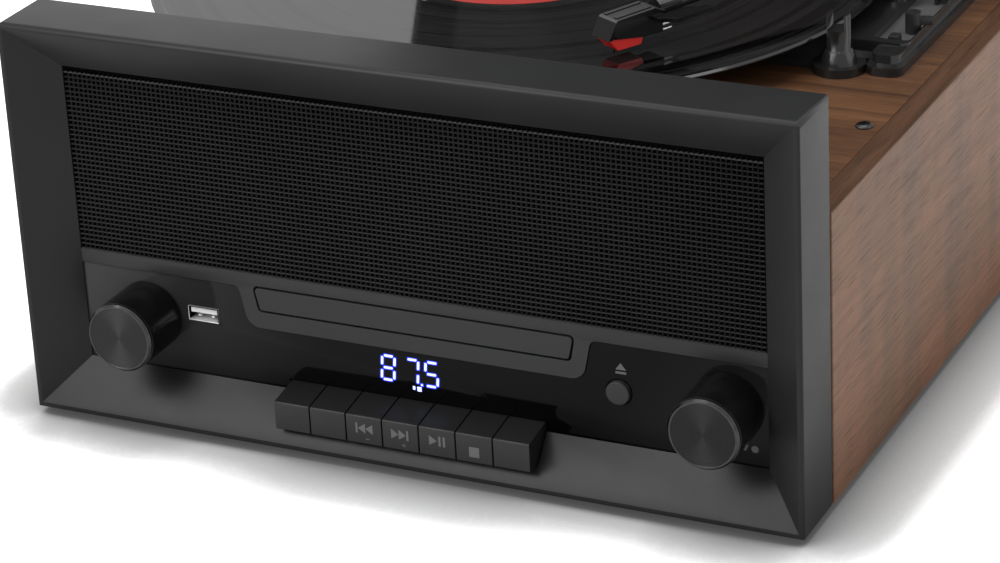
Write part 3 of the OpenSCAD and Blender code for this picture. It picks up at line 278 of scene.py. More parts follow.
def plainMetal(name, dark, light, rough, brush=(300, 300, 300), metallic=1.0):
    mat, tree, shader = newFinish(name)
    lines = noise(tree, objectPlaces(tree, scale=brush), 1.0, 4)
    tree.links.new(ramp(tree, lines, [(0.3, dark), (0.7, light)]), shader.inputs["Base Color"])
    tree.links.new(ramp(tree, lines, [(0.3, grey(rough * 0.8)), (0.7, grey(rough * 1.2))]),
                   shader.inputs["Roughness"])
    addBump(tree, shader, lines, 0.2, 0.00002)
    shader.inputs["Metallic"].default_value = metallic
    return mat


def vinylFinish(centre):
    mat, tree, shader = newFinish("record vinyl")
    angle, reach, outward = ringParts(tree, centre, "z")
    grooves = noise(tree, ringPlaces(tree, reach, angle, 4200, 0.2), 1.0, 1)
    tracks = noise(tree, ringPlaces(tree, reach, angle, 260, 0.02), 1.0, 3, 0.7)
    gaps = noise(tree, ringPlaces(tree, reach, angle, 70, 0.0), 1.0, 1)
    tone = ramp(tree, tracks, [(0.35, grey(0.006)), (0.65, grey(0.012))])
    bareRings = ramp(tree, gaps, [(0.475, grey(1.0)), (0.49, grey(0.2)), (0.51, grey(0.2)),
                                  (0.525, grey(1.0))])
    tone = blended(tree, 1.0, tone, bareRings, "MULTIPLY")
    tree.links.new(tone, shader.inputs["Base Color"])
    tree.links.new(ramp(tree, tracks, [(0.35, grey(0.035)), (0.65, grey(0.08))]),
                   shader.inputs["Roughness"])
    addBump(tree, shader, grooves, 0.06, 0.00002)
    tree.links.new(outward, shader.inputs["Tangent"])
    shader.inputs["Anisotropic"].default_value = 0.4
    return mat


def glossPanelFinish():
    # The panel's colour is paler at its left end, along a leaning line: a painted reflection of a
    # brighter surround
    mat, tree, shader = newFinish("gloss panel")
    parts = splitPlaces(tree, objectPlaces(tree, centre=place(0, 0, 42)))
    lean = calc(tree, "ADD", parts["X"], calc(tree, "MULTIPLY", parts["Z"], -0.8))
    across = calc(tree, "ADD", calc(tree, "MULTIPLY", lean, 3.4), 0.5)
    # Painted reflection: pale at the left, darkest in the middle, a little paler again at the far right
    tree.links.new(ramp(tree, across, [(0.0, grey(0.052)), (0.12, grey(0.026)), (0.24, grey(0.015)),
                                       (0.37, grey(0.0038)), (0.78, grey(0.0015)),
                                       (0.97, grey(0.012))]),
                   shader.inputs["Base Color"])
    haze = noise(tree, objectPlaces(tree), 40, 3)
    tree.links.new(ramp(tree, haze, [(0.3, grey(0.05)), (0.7, grey(0.09))]),
                   shader.inputs["Roughness"])
    shader.inputs["Specular IOR Level"].default_value = 0.085
    return mat


def smokedAcrylic():
    mat, tree, shader = newFinish("smoked acrylic")
    haze = noise(tree, objectPlaces(tree), 30, 3)
    tree.links.new(ramp(tree, haze, [(0.3, (0.012, 0.012, 0.014)), (0.7, (0.018, 0.018, 0.02))]),
                   shader.inputs["Base Color"])
    tree.links.new(ramp(tree, haze, [(0.3, grey(0.03)), (0.7, grey(0.06))]),
                   shader.inputs["Roughness"])
    shader.inputs["Alpha"].default_value = 0.79
    shader.inputs["IOR"].default_value = 1.49
    return mat


def printedInk(name, colour, glow=0.0):
    mat, tree, shader = newFinish(name)
    fleck = noise(tree, objectPlaces(tree), 3000, 2)
    dim = tuple(c * 0.85 for c in colour)
    tree.links.new(ramp(tree, fleck, [(0.3, dim), (0.7, colour)]), shader.inputs["Base Color"])
    shader.inputs["Roughness"].default_value = 0.55
    if glow:
        shader.inputs["Emission Color"].default_value = (*colour, 1)
        shader.inputs["Emission Strength"].default_value = glow
    return mat


def circuitBoardFinish():
    mat, tree, shader = newFinish("circuit board")
    tracks = tree.nodes.new("ShaderNodeTexVoronoi")
    tracks.inputs["Scale"].default_value = 260.0
    tracks.distance = "CHEBYCHEV"
    tree.links.new(objectPlaces(tree), tracks.inputs["Vector"])
    tree.links.new(ramp(tree, tracks.outputs["Distance"],
                        [(0.1, (0.02, 0.12, 0.06)), (0.3, (0.012, 0.07, 0.035))]),
                   shader.inputs["Base Color"])
    shader.inputs["Roughness"].default_value = 0.4
    return mat


def rawBoardFinish():
    mat, tree, shader = newFinish("raw fibreboard")
    fibres = noise(tree, objectPlaces(tree), 900, 6, 0.7)
    tree.links.new(ramp(tree, fibres, [(0.3, (0.19, 0.12, 0.07)), (0.7, (0.32, 0.22, 0.14))]),
                   shader.inputs["Base Color"])
    addBump(tree, shader, fibres, 0.4, 0.0001)
    shader.inputs["Roughness"].default_value = 0.85
    return mat


spindleAxis = middleOf("spindle")
tuningAt = middleOf("tuning_knob")
volumeAt = middleOf("volume_knob")

# Plastics: name, darkest and lightest tone, roughness, depth of the grain
anthracite = mouldedPlastic("anthracite plastic", grey(0.0155), (0.0195, 0.020, 0.021), 0.33,
                            0.00002, specular=0.18)
fasciaGrey = mouldedPlastic("fascia plastic", grey(0.0245), (0.030, 0.0305, 0.0315), 0.42, 0.00002)
keyFront = mouldedPlastic("key front", grey(0.025), (0.0305, 0.031, 0.032), 0.42, 0.00002)
keyShadedTop = mouldedPlastic("key top painted shade", grey(0.013), grey(0.016), 0.4, 0.00001, specular=0.12)
softBlack = mouldedPlastic("black plastic", grey(0.011), grey(0.017), 0.42, 0.00004, specular=0.4)
satinBlack = mouldedPlastic("satin black plastic", grey(0.008), grey(0.012), 0.24, 0.00001,
                            specular=0.5)
restBlack = mouldedPlastic("polished black plastic", grey(0.009), grey(0.014), 0.22, 0.00001,
                           specular=0.35)
trayGrain = mouldedPlastic("grained tray floor", grey(0.07), grey(0.12), 0.5, 0.0001, 1600,
                           specular=0.4)
knobSide = mouldedPlastic("knob side", grey(0.004), grey(0.006), 0.26, 0.00001, specular=0.4)
grilleBlack = mouldedPlastic("grille black", grey(0.0042), grey(0.0065), 0.38, 0.00001,
                             specular=0.15)
grilleLitBar = mouldedPlastic("grille bar painted highlight", grey(0.035), grey(0.05), 0.4, 0.00001)
clothAndShadeBlack = mouldedPlastic("black cloth and painted shade", grey(0.001), grey(0.002), 0.9, 0.00005, 1800,
                            specular=0.05)
rubberBlack = mouldedPlastic("rubber", grey(0.014), grey(0.02), 0.8, 0.00008, 1500)
feltBlack = mouldedPlastic("felt mat", grey(0.012), grey(0.022), 0.95, 0.00012, 1200, specular=0.1)
redPlastic = mouldedPlastic("red stylus plastic", (0.88, 0.027, 0.022), (0.95, 0.035, 0.028), 0.3,
                            0.00001, specular=0.4)
shellGrey = mouldedPlastic("headshell grey", grey(0.05), grey(0.065), 0.35, 0.00001, specular=0.4)
shellBlack = mouldedPlastic("headshell black", grey(0.004), grey(0.007), 0.28, 0.00001,
                            specular=0.14)
labelPaper = mouldedPlastic("label paper", (0.38, 0.036, 0.03), (0.45, 0.046, 0.038), 0.55, 0.00004,
                            1800, specular=0.4)
coneBlack = mouldedPlastic("speaker cone", grey(0.02), grey(0.035), 0.85, 0.0001, 1200)
whiteTongue = mouldedPlastic("socket tongue", grey(0.8), grey(0.9), 0.4, 0.00001)

# Walnut's dark, middle and light tone on each board
walnut = {
    "deck": ((0.036, 0.016, 0.008), (0.095, 0.042, 0.020), (0.165, 0.076, 0.034)),
    "edge": ((0.036, 0.017, 0.009), (0.085, 0.040, 0.021), (0.125, 0.060, 0.031)),
    "side": ((0.12, 0.056, 0.031), (0.185, 0.090, 0.049), (0.25, 0.125, 0.068)),
}
deckWalnut = walnutVeneer("deck walnut", "x", walnut["deck"], contrast=0.9)
edgeWalnut = walnutVeneer("edge walnut", "y", walnut["edge"], contrast=0.8, seed=0.9)
sideWalnut = walnutVeneer("side walnut", "y", walnut["side"], contrast=0.6, figureSheen=0.65, seed=0.4)

brightSteel = plainMetal("bright steel", grey(0.58), grey(0.75), 0.22)
socketShell = plainMetal("socket shell", grey(0.8), grey(0.92), 0.35, metallic=0.5)
screwBlack = plainMetal("blackened steel", grey(0.03), grey(0.06), 0.3)
platedMetal = plainMetal("dull steel", grey(0.4), grey(0.55), 0.4)
armMetal = plainMetal("arm tube black", grey(0.008), grey(0.014), 0.24, (60, 900, 900), 0.2)
ringMetal = plainMetal("knob ring", grey(0.045), grey(0.06), 0.2)
tuningFace = turnedFinish("tuning knob face", tuningAt, "y", grey(0.019), grey(0.028), 0.36, 0.75)
volumeFace = turnedFinish("volume knob face", volumeAt, "y", grey(0.011), grey(0.018), 0.36, 0.75)
vinyl = vinylFinish(spindleAxis)
glossBlack = glossPanelFinish()
smoked = smokedAcrylic()
greenBoard = circuitBoardFinish()
fibreboard = rawBoardFinish()
signGrey = printedInk("grey print", grey(0.11))
keyInk = printedInk("key print", grey(0.13))
displayBlue = printedInk("display blue", (0.015, 0.035, 0.85), 0.8)
displayWhite = printedInk("display white", (0.72, 0.82, 1.0), 0.85)
print("materials ready")

# The finish of each material slot
finishOf = {
    "black": softBlack, "board": fibreboard, "circuit": greenBoard, "cone": coneBlack,
    "fascia": fasciaGrey, "frame": anthracite, "gloss": glossBlack, "knob": knobSide,
    "label": labelPaper, "mat": feltBlack, "rubber": rubberBlack, "screw": screwBlack,
    "side_walnut": sideWalnut, "smoked": smoked, "steel": platedMetal, "stylus": redPlastic,
    "vinyl": vinyl, "walnut": deckWalnut, "arm_metal": armMetal, "display": softBlack,
}
for name, node in nodes.items():
    node.data.materials.clear()
    node.data.materials.append(finishOf[slotOf[name]])
print("finishes on the carried-over parts")


# Mesh helpers

def cadCopy(node):
    mesh = bmesh.new()
    mesh.from_mesh(nodes[node].data)
    bmesh.ops.remove_doubles(mesh, verts=mesh.verts, dist=5e-6)
    bmesh.ops.dissolve_limit(mesh, angle_limit=math.radians(1), verts=mesh.verts, edges=mesh.edges)
    for face in mesh.faces:
        face.material_index = 0
    return mesh


def bevelSharp(mesh, width, segments=2, where=None):
    sharp = [e for e in mesh.edges if e.is_manifold and e.calc_face_angle() > math.radians(35)
             and (where is None or where(e))]
    bmesh.ops.bevel(mesh, geom=sharp, offset=width / 1000, offset_type="OFFSET", segments=segments,
                    profile=0.5, affect="EDGES", material=-1, clamp_overlap=True)


def keepPiece(mesh, name, materials, carrier, smooth=25, replaced=()):
    bmesh.ops.recalc_face_normals(mesh, faces=mesh.faces)
    data = bpy.data.meshes.new(name)
    mesh.to_mesh(data)
    mesh.free()
    for material in materials:
        data.materials.append(material)
    data.shade_smooth()
    data.set_sharp_from_angle(angle=math.radians(smooth))
    piece = bpy.data.objects.new(name, data)
    bpy.context.scene.collection.objects.link(piece)
    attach(piece, bodyOf[carrier])
    if replaced:
        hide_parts(*replaced)


def softened(node, name, materials, width, segments=2, where=None, paint=None):
    # A CAD part with its sharp edges rounded, and its faces painted by where they are
    mesh = cadCopy(node)
    if width:
        bevelSharp(mesh, width, segments, where=where)
    mesh.normal_update()
    if paint:
        for face in mesh.faces:
            face.material_index = paint(face.calc_center_median(), face.normal)
    keepPiece(mesh, name, materials, node, replaced=(node,))


def addBox(mesh, low, high):
    made = bmesh.ops.create_cube(mesh, size=1)
    bmesh.ops.scale(mesh, verts=made["verts"], vec=high - low)
    bmesh.ops.translate(mesh, verts=made["verts"], vec=(low + high) / 2)
    return made["verts"]


def addPrism(mesh, sides, x, z, width, height, faceY, depth, turn=0.0):
    # A flat shape with a few corners on an upright face, fitted to a width and a height
    made = bmesh.ops.create_cone(mesh, cap_ends=True, segments=sides, radius1=0.5, radius2=0.5, depth=1)
    verts = made["verts"]
    bmesh.ops.rotate(mesh, verts=verts, cent=(0, 0, 0), matrix=Matrix.Rotation(turn, 3, "Z"))
    bmesh.ops.rotate(mesh, verts=verts, cent=(0, 0, 0), matrix=Matrix.Rotation(math.pi / 2, 3, "X"))
    low = Vector([min(v.co[i] for v in verts) for i in range(3)])
    high = Vector([max(v.co[i] for v in verts) for i in range(3)])
    bmesh.ops.translate(mesh, verts=verts, vec=-(low + high) / 2)
    size = high - low
    bmesh.ops.scale(mesh, verts=verts, vec=(width / 1000 / size.x, depth / 1000 / size.y,
                                            height / 1000 / size.z))
    bmesh.ops.translate(mesh, verts=verts, vec=place(x, faceY, z))
    return verts


def spinProfile(mesh, profile, centre, axis, steps):
    # profile: (distance from the axis, height along it) in mm
    side = Vector((1, 0, 0))
    points = [mesh.verts.new(centre + side * (r / 1000) + axis * (h / 1000)) for r, h in profile]
    lines = [mesh.edges.new(pair) for pair in zip(points, points[1:])]
    bmesh.ops.spin(mesh, geom=points + lines, cent=centre, axis=axis, dvec=(0, 0, 0),
                   angle=2 * math.pi, steps=steps, use_merge=True, use_duplicate=False)
    bmesh.ops.remove_doubles(mesh, verts=mesh.verts, dist=1e-6)


# Front frame, fascia, drawer and gloss panel: how far back their faces lie, and their edges' width
front = {"recess": 13.7, "panel": 14.3, "frameEdge": 0.35, "fasciaEdge": 0.22, "panelEdge": 0.2,
         "drawerEdge": 0.25, "ejectEdge": 0.25}


def edgesUpTo(depth):
    # Picks the edges that lie less than this many mm behind the rim
    return lambda edge: all(v.co.y < rimY + depth / 1000 for v in edge.verts)


softened("front_frame", "front_frame_moulding", [anthracite], front["frameEdge"], 3,
         where=edgesUpTo(front["recess"] + 0.2))
softened("fascia", "fascia_strip", [fasciaGrey], front["fasciaEdge"],
         where=edgesUpTo(front["recess"] + 0.1))
softened("drawer_front", "drawer_front_panel", [fasciaGrey], front["drawerEdge"],
         where=edgesUpTo(front["recess"] + 0.1))
softened("gloss_panel", "gloss_front_panel", [glossBlack], front["panelEdge"],
         where=edgesUpTo(front["panel"] + 0.2))
print("front frame, fascia, drawer and gloss panel")

# Speaker grille: a sheet of small square openings with sloping sides
# Beyond shadeGapEdge and above barHigh the sheet is painted black as shade; from barLow to barHigh it
# is painted lighter as a highlight
grille = {"halfWidth": 144.4, "low": 67.5, "high": 141.5, "columns": 146, "rows": 38, "land": 0.05,
          "slope": 0.30, "slopeDepth": 0.32, "holeDepth": 0.9, "sheet": 1.9, "shadeGapEdge": 139.7,
          "barLow": 138.95, "barHigh": 139.95}


def makeGrille():
    mesh = bmesh.new()
    bmesh.ops.create_grid(mesh, x_segments=grille["columns"], y_segments=grille["rows"], size=0.5)
    bmesh.ops.rotate(mesh, verts=mesh.verts, cent=(0, 0, 0),
                     matrix=Matrix.Rotation(math.pi / 2, 3, "X"))
    tall = grille["high"] - grille["low"]
    bmesh.ops.scale(mesh, verts=mesh.verts, vec=(grille["halfWidth"] / 500, 1, tall / 1000))
    bmesh.ops.translate(mesh, verts=mesh.verts,
                        vec=place(0, front["recess"], (grille["low"] + grille["high"]) / 2))
    cells = list(mesh.faces)
    bmesh.ops.inset_individual(mesh, faces=cells, thickness=grille["land"] / 1000, depth=0,
                               use_even_offset=True)
    bmesh.ops.inset_individual(mesh, faces=cells, thickness=grille["slope"] / 1000,
                               depth=-grille["slopeDepth"] / 1000, use_even_offset=True)
    floors = bmesh.ops.extrude_discrete_faces(mesh, faces=cells)["faces"]
    sunk = list({v for f in floors for v in f.verts})
    bmesh.ops.translate(mesh, verts=sunk, vec=(0, grille["holeDepth"] / 1000, 0))
    # Black cloth in the holes; painted shade as a black gap at the side edges and along the top; and
    # below that gap one bar under the frame painted lighter as a highlight
    cloth = set(floors)
    for face in mesh.faces:
        spot = face.calc_center_median()
        reach = abs(spot.x - midX) * 1000
        height = spot.z * 1000
        if face in cloth or reach > grille["shadeGapEdge"] or height > grille["barHigh"]:
            face.material_index = 1
        elif height > grille["barLow"]:
            face.material_index = 2
    border = [e for e in mesh.edges if e.is_boundary]
    back = bmesh.ops.extrude_edge_only(mesh, edges=border)["geom"]
    for vert in [v for v in back if isinstance(v, bmesh.types.BMVert)]:
        vert.co.y = place(0, front["recess"] + grille["sheet"], 0).y
    bmesh.ops.holes_fill(mesh, edges=[e for e in mesh.edges if e.is_boundary], sides=0)
    keepPiece(mesh, "grille_sheet", [grilleBlack, clothAndShadeBlack, grilleLitBar], "speaker_grille",
              replaced=("speaker_grille",))


makeGrille()
print("speaker grille")

# Rotary knobs: a black wall, a groove, a bright ring and a slightly sunk turned face
knob = {"wall": 1.6, "hub": 6.0, "shaft": 3.0, "shaftBack": -9, "radius": 13.8, "length": 24.0,
        "start": 0.5, "cap": 2.4, "groove": 0.28, "ring": 1.1, "sunk": 0.18, "steps": 128}


def makeKnob(node, name, face):
    low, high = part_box(node)
    centre = Vector(((low.x + high.x) / 2, place(0, front["panel"], 0).y, (low.z + high.z) / 2))
    k = knob
    r, end, groove = k["radius"], k["length"], k["radius"] - k["groove"]
    ringIn = r - k["ring"]
    faceAt = end - k["sunk"]
    profile = [
        (0, k["shaftBack"]), (k["shaft"], k["shaftBack"]), (k["shaft"], 1), (k["hub"], 1),
        (k["hub"], end - k["cap"]), (r - k["wall"], end - k["cap"]), (r - k["wall"], k["start"]),
        (r - 0.2, k["start"]), (r, k["start"] + 0.2), (r, end - 2.1), (groove, end - 2.0),
        (groove, end - 1.7), (r - 0.05, end - 1.6), (r - 0.1, end - 1.0), (ringIn + 0.25, end - 0.05),
        (ringIn, end), (ringIn - 0.35, end), (ringIn - 0.6, faceAt), (ringIn * 0.5, faceAt),
        (0, faceAt)]
    mesh = bmesh.new()
    spinProfile(mesh, profile, centre, Vector((0, -1, 0)), k["steps"])
    for part in mesh.faces:
        spot = part.calc_center_median()
        ahead = (centre.y - spot.y) * 1000
        reach = math.hypot(spot.x - centre.x, spot.z - centre.z) * 1000
        if ahead > end - 0.35 and reach < ringIn - 0.3:
            part.material_index = 2
        elif ahead > end - 1.2 and reach > ringIn - 0.3:
            part.material_index = 1
    keepPiece(mesh, name, [knobSide, ringMetal, face], node, smooth=20, replaced=(node,))


makeKnob("tuning_knob", "tuning_knob_turned", tuningFace)
makeKnob("volume_knob", "volume_knob_turned", volumeFace)
print("knobs")

# Play keys: satin fronts, tops and sides painted darker as shade, and printed signs
keys = {"names": ["standby_key", "function_key", "previous_key", "next_key", "play_key", "stop_key",
                  "record_key"],
        "pitch": 15.14, "edge": 0.25, "face": -0.3, "ink": 0.03, "tall": 4.1, "height": 17.9,
        "stopHeight": 15.9}
# Each sign's parts on a key: kind, offset and width
keySigns = {
    "previous_key": [("bar", -3.0, 0.8), ("left", -0.9, 3.0), ("left", 2.2, 3.0)],
    "next_key": [("right", -2.2, 3.0), ("right", 0.9, 3.0), ("bar", 3.0, 0.8)],
    "play_key": [("right", -1.6, 3.2), ("bar", 1.1, 0.9), ("bar", 2.9, 0.9)],
    "stop_key": [("bar", 0.0, 4.1)],
}
# The small minus and plus: strokes of this length and thickness
smallSign = {"offset": 1.4, "height": 13.7, "length": 1.5, "stroke": 0.35}


def keyPaint(spot, normal):
    # Forward faces keep the satin front; tops and sides take the darker copy as painted shade
    return 0 if normal.y < -0.6 else 1


def addSign(mesh, kind, x, height, width, tall):
    sides = 4 if kind == "bar" else 3
    turn = {"bar": math.pi / 4, "left": math.pi / 2, "right": -math.pi / 2}[kind]
    addPrism(mesh, sides, x, height, width, tall, keys["face"], keys["ink"], turn)


def makeKeySign(key, middle):
    mesh = bmesh.new()
    height = keys["stopHeight"] if key == "stop_key" else keys["height"]
    for kind, offset, width in keySigns[key]:
        addSign(mesh, kind, middle + offset, height, width, keys["tall"])
    at, low = middle + smallSign["offset"], smallSign["height"]
    if key in ("previous_key", "next_key"):
        addSign(mesh, "bar", at, low, smallSign["length"], smallSign["stroke"])
    if key == "next_key":
        addSign(mesh, "bar", at, low, smallSign["stroke"], smallSign["length"])
    keepPiece(mesh, key + "_sign", [keyInk], key)


for index, key in enumerate(keys["names"]):
    softened(key, key + "_cap", [keyFront, keyShadedTop], keys["edge"], paint=keyPaint)
    if key in keySigns:
        makeKeySign(key, (index - 3) * keys["pitch"])
print("play keys")

# Printed signs on the gloss panel: eject, and the volume knob's dot and tick
signs = {"ejectAt": (83.8, 52.1), "ejectWidth": 4.2, "triangle": (0.8, 2.8), "bar": (-1.75, 0.9),
         "dotAt": (135.1, 28.4), "dot": 2.8, "tickAt": (131.7, 28.6), "tick": (0.8, 2.7),
         "tickLean": 24, "ink": 0.03}


def makePanelSigns():
    mesh = bmesh.new()
    x, z = signs["ejectAt"]
    face, ink = front["panel"], signs["ink"]
    rise, tall = signs["triangle"]
    addPrism(mesh, 3, x, z + rise, signs["ejectWidth"], tall, face, ink)
    rise, tall = signs["bar"]
    addPrism(mesh, 4, x, z + rise, signs["ejectWidth"], tall, face, ink, math.pi / 4)
    x, z = signs["dotAt"]
    addPrism(mesh, 24, x, z, signs["dot"], signs["dot"], face, ink)
    x, z = signs["tickAt"]
    tick = addPrism(mesh, 4, x, z, *signs["tick"], face, ink, math.pi / 4)
    bmesh.ops.rotate(mesh, verts=tick, cent=place(x, face, z),
                     matrix=Matrix.Rotation(math.radians(signs["tickLean"]), 3, "Y"))
    keepPiece(mesh, "panel_signs", [signGrey], "gloss_panel")


makePanelSigns()

# Lit digits behind the gloss panel
digits = {"low": 31.5, "high": 42.6, "stroke": 1.25, "width": 6.4, "slant": 0.08, "corner": 0.4,
          "point": (2.7, 0.6, 1.2), "marks": [(-0.6, 30.4, 1.1, 1.5), (1.6, 30.2, 1.9, 1.9)],
          "glowGrow": 0.4, "glowDepth": 0.02, "coreGrow": -0.3, "coreDepth": 0.05}
# Middle of each digit and its strokes, from a at the top, clockwise, to f, and g across the middle
digitStrokes = [(-11.4, "abcdefg"), (-1.6, "abc"), (6.6, "afgcd")]


def strokeBars():
    # Middle x, middle z, width and height of the seven strokes
    low, high, stroke = digits["low"], digits["high"], digits["stroke"]
    mid = (low + high) / 2
    side = digits["width"] / 2 - stroke / 2
    level = digits["width"] - stroke * 1.9
    upright = (high - low) / 2 - stroke * 1.45
    return {
        "a": (0, high - stroke / 2, level, stroke), "d": (0, low + stroke / 2, level, stroke),
        "g": (0, mid, level, stroke), "b": (side, (mid + high) / 2, stroke, upright),
        "c": (side, (mid + low) / 2, stroke, upright), "e": (-side, (mid + low) / 2, stroke, upright),
        "f": (-side, (mid + high) / 2, stroke, upright)}


def makeDigits(name, grow, depth, material):
    mesh = bmesh.new()
    face, quarter = front["panel"], math.pi / 4
    bars = strokeBars()
    for middle, strokes in digitStrokes:
        for stroke in strokes:
            x, z, width, height = bars[stroke]
            addPrism(mesh, 4, middle + x, z, width + grow, height + grow, face, depth, quarter)
    x, rise, size = digits["point"]
    addPrism(mesh, 4, x, digits["low"] + rise, size + grow, size + grow, face, depth, quarter)
    corners = [e for e in mesh.edges if abs(e.verts[0].co.y - e.verts[1].co.y) > 1e-6]
    bmesh.ops.bevel(mesh, geom=corners, offset=digits["corner"] / 1000, offset_type="OFFSET",
                    segments=2, profile=0.5, affect="EDGES", material=-1, clamp_overlap=True)
    # The digits lean to the right from their feet
    slant = Matrix.Identity(4)
    slant[0][2] = digits["slant"]
    slant[0][3] = -digits["slant"] * digits["low"] / 1000
    bmesh.ops.transform(mesh, matrix=slant, verts=mesh.verts)
    for x, z, width, height in digits["marks"]:
        addPrism(mesh, 4, x, z, width + grow * 0.5, height, face, depth, quarter)
    keepPiece(mesh, name, [material], "gloss_panel")


makeDigits("digits_glow", digits["glowGrow"], digits["glowDepth"], displayBlue)
makeDigits("digits_core", digits["coreGrow"], digits["coreDepth"], displayWhite)
print("signs and digits")

# USB socket: folded shell with a white tongue and two springs
socket = {"x": -89.1, "z": 46.8, "width": 13.1, "height": 5.9, "wall": 0.35, "depth": 12.0,
          "bottom": 0.5, "tongueHeight": 2.2, "tongueWidth": 11.2, "tongueFront": 0.7,
          "tongueBack": 10, "springs": (-2.6, 3.2), "springWidth": 1.2, "springFront": 1.6,
          "springBack": 6, "springLow": -1.5, "springHigh": -0.9}


def makeSocket():
    mesh = bmesh.new()
    s = socket
    y = front["panel"]
    addBox(mesh, place(s["x"] - s["width"] / 2, y, s["z"] - s["height"] / 2),
           place(s["x"] + s["width"] / 2, y + s["depth"], s["z"] + s["height"] / 2))
    mesh.normal_update()
    mouth = [f for f in mesh.faces if f.normal.y < -0.9]
    bmesh.ops.inset_region(mesh, faces=mouth, thickness=s["wall"] / 1000, use_even_offset=True)
    hole = bmesh.ops.extrude_discrete_faces(mesh, faces=mouth)["faces"]
    bmesh.ops.translate(mesh, verts=list({v for f in hole for v in f.verts}),
                        vec=(0, (s["depth"] - s["bottom"]) / 1000, 0))
    mesh.normal_update()
    # The inside and the mouth are painted black as shade, apart from the floor and the mouth's left and
    # lower edge, which keep the bright metal where light falls
    for face in mesh.faces:
        spot, way = face.calc_center_median(), face.normal
        across = (spot.x - place(s["x"], 0, 0).x) * 1000
        up = spot.z * 1000 - s["z"]
        inside = abs(across) < s["width"] / 2 - 0.01 and abs(up) < s["height"] / 2 - 0.01
        ring = way.y < -0.9 and spot.y < place(0, y + 0.1, 0).y
        litRing = ring and (across < -s["width"] / 2 + 0.5 or up < -s["height"] / 2 + 0.5)
        litFloor = inside and way.z > 0.9 and up < 0
        if (inside or ring) and not (litRing or litFloor):
            face.material_index = 2
    shellFaces = set(mesh.faces)
    top = s["z"] + s["height"] / 2 - s["wall"] - 0.15
    addBox(mesh, place(s["x"] - s["tongueWidth"] / 2, y + s["tongueFront"], top - s["tongueHeight"]),
           place(s["x"] + s["tongueWidth"] / 2, y + s["tongueBack"], top))
    for face in mesh.faces:
        if face not in shellFaces:
            face.material_index = 1
    for offset in s["springs"]:
        left = s["x"] + offset - s["springWidth"] / 2
        addBox(mesh, place(left, y + s["springFront"], s["z"] + s["springLow"]),
               place(left + s["springWidth"], y + s["springBack"], s["z"] + s["springHigh"]))
    keepPiece(mesh, "usb_shell", [socketShell, whiteTongue, clothAndShadeBlack], "usb_socket",
              replaced=("usb_socket",))


makeSocket()
softened("eject_button", "eject_button_cap", [fasciaGrey], front["ejectEdge"],
         where=edgesUpTo(front["recess"] - 0.2))
print("socket and eject button")

# Deck, boards and the arm base with its grained tray
deck = {"edge": 0.2, "boardEdge": 0.5, "baseEdge": 0.4, "trayHeight": 122.0}


def boardPaint(spot, normal):
    return 1 if normal.z > 0.7 else 0


def trayPaint(spot, normal):
    return 1 if normal.z > 0.8 and abs(spot.z * 1000 - deck["trayHeight"]) < 0.3 else 0


softened("deck_board", "deck_veneered", [deckWalnut], deck["edge"], 1)
for side in ("right", "left"):
    softened(side + "_side_board", side + "_side_veneered", [sideWalnut, edgeWalnut],
             deck["boardEdge"], paint=boardPaint)
softened("arm_base", "arm_base_moulding", [satinBlack, trayGrain], deck["baseEdge"], paint=trayPaint)
softened("arm_rest", "arm_rest_moulding", [restBlack], 0)

# The arm pieces lie straight ahead of the pivot before they are turned and tilted
armAt = {"x": 116.0, "y": 252.0, "z": 149.83, "turn": -28.9, "tilt": 2.2}
armPlace = (Matrix.Translation(place(armAt["x"], armAt["y"], armAt["z"]))
            @ Matrix.Rotation(math.radians(armAt["turn"]), 4, "Z")
            @ Matrix.Rotation(math.radians(armAt["tilt"]), 4, "X"))
fromArm = armPlace.inverted()


# Headshell, cartridge and stylus
head = {"roofHalf": 5.6, "needle": 1.8, "shellEdge": 0.45, "cartridgeEdge": 0.25, "stylusEdge": 0.2}
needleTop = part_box("stylus")[0].z + head["needle"] / 1000


def shellPaint(spot, normal):
    # Grey ribbed roof and nose edge, black sides and finger lift
    return 0 if normal.z > 0.6 and abs((fromArm @ spot).x) < head["roofHalf"] / 1000 else 1


def stylusPaint(spot, normal):
    return 1 if spot.z < needleTop else 0


softened("headshell", "headshell_moulding", [shellGrey, shellBlack], head["shellEdge"],
         paint=shellPaint)
softened("cartridge", "cartridge_body", [shellBlack], head["cartridgeEdge"])
softened("stylus", "stylus_carrier", [redPlastic, screwBlack], head["stylusEdge"], paint=stylusPaint)

# Two bright contact pins between the cartridge and the arm tube
pins = {"across": 4.2, "front": -137.0, "length": 4.6, "heights": (-5.4, -7.5), "radius": 0.5,
        "edge": 0.12}


def makePins():
    mesh = bmesh.new()
    for height in pins["heights"]:
        made = bmesh.ops.create_cone(mesh, cap_ends=True, segments=16, radius1=pins["radius"] / 1000,
                                     radius2=pins["radius"] / 1000, depth=pins["length"] / 1000)
        bmesh.ops.rotate(mesh, verts=made["verts"], cent=(0, 0, 0),
                         matrix=Matrix.Rotation(math.pi / 2, 3, "X"))
        bmesh.ops.translate(mesh, verts=made["verts"],
                            vec=(pins["across"] / 1000, (pins["front"] + pins["length"] / 2) / 1000,
                                 height / 1000))
    bevelSharp(mesh, pins["edge"])
    bmesh.ops.transform(mesh, matrix=armPlace, verts=mesh.verts)
    keepPiece(mesh, "cartridge_pins", [brightSteel], "cartridge")


makePins()

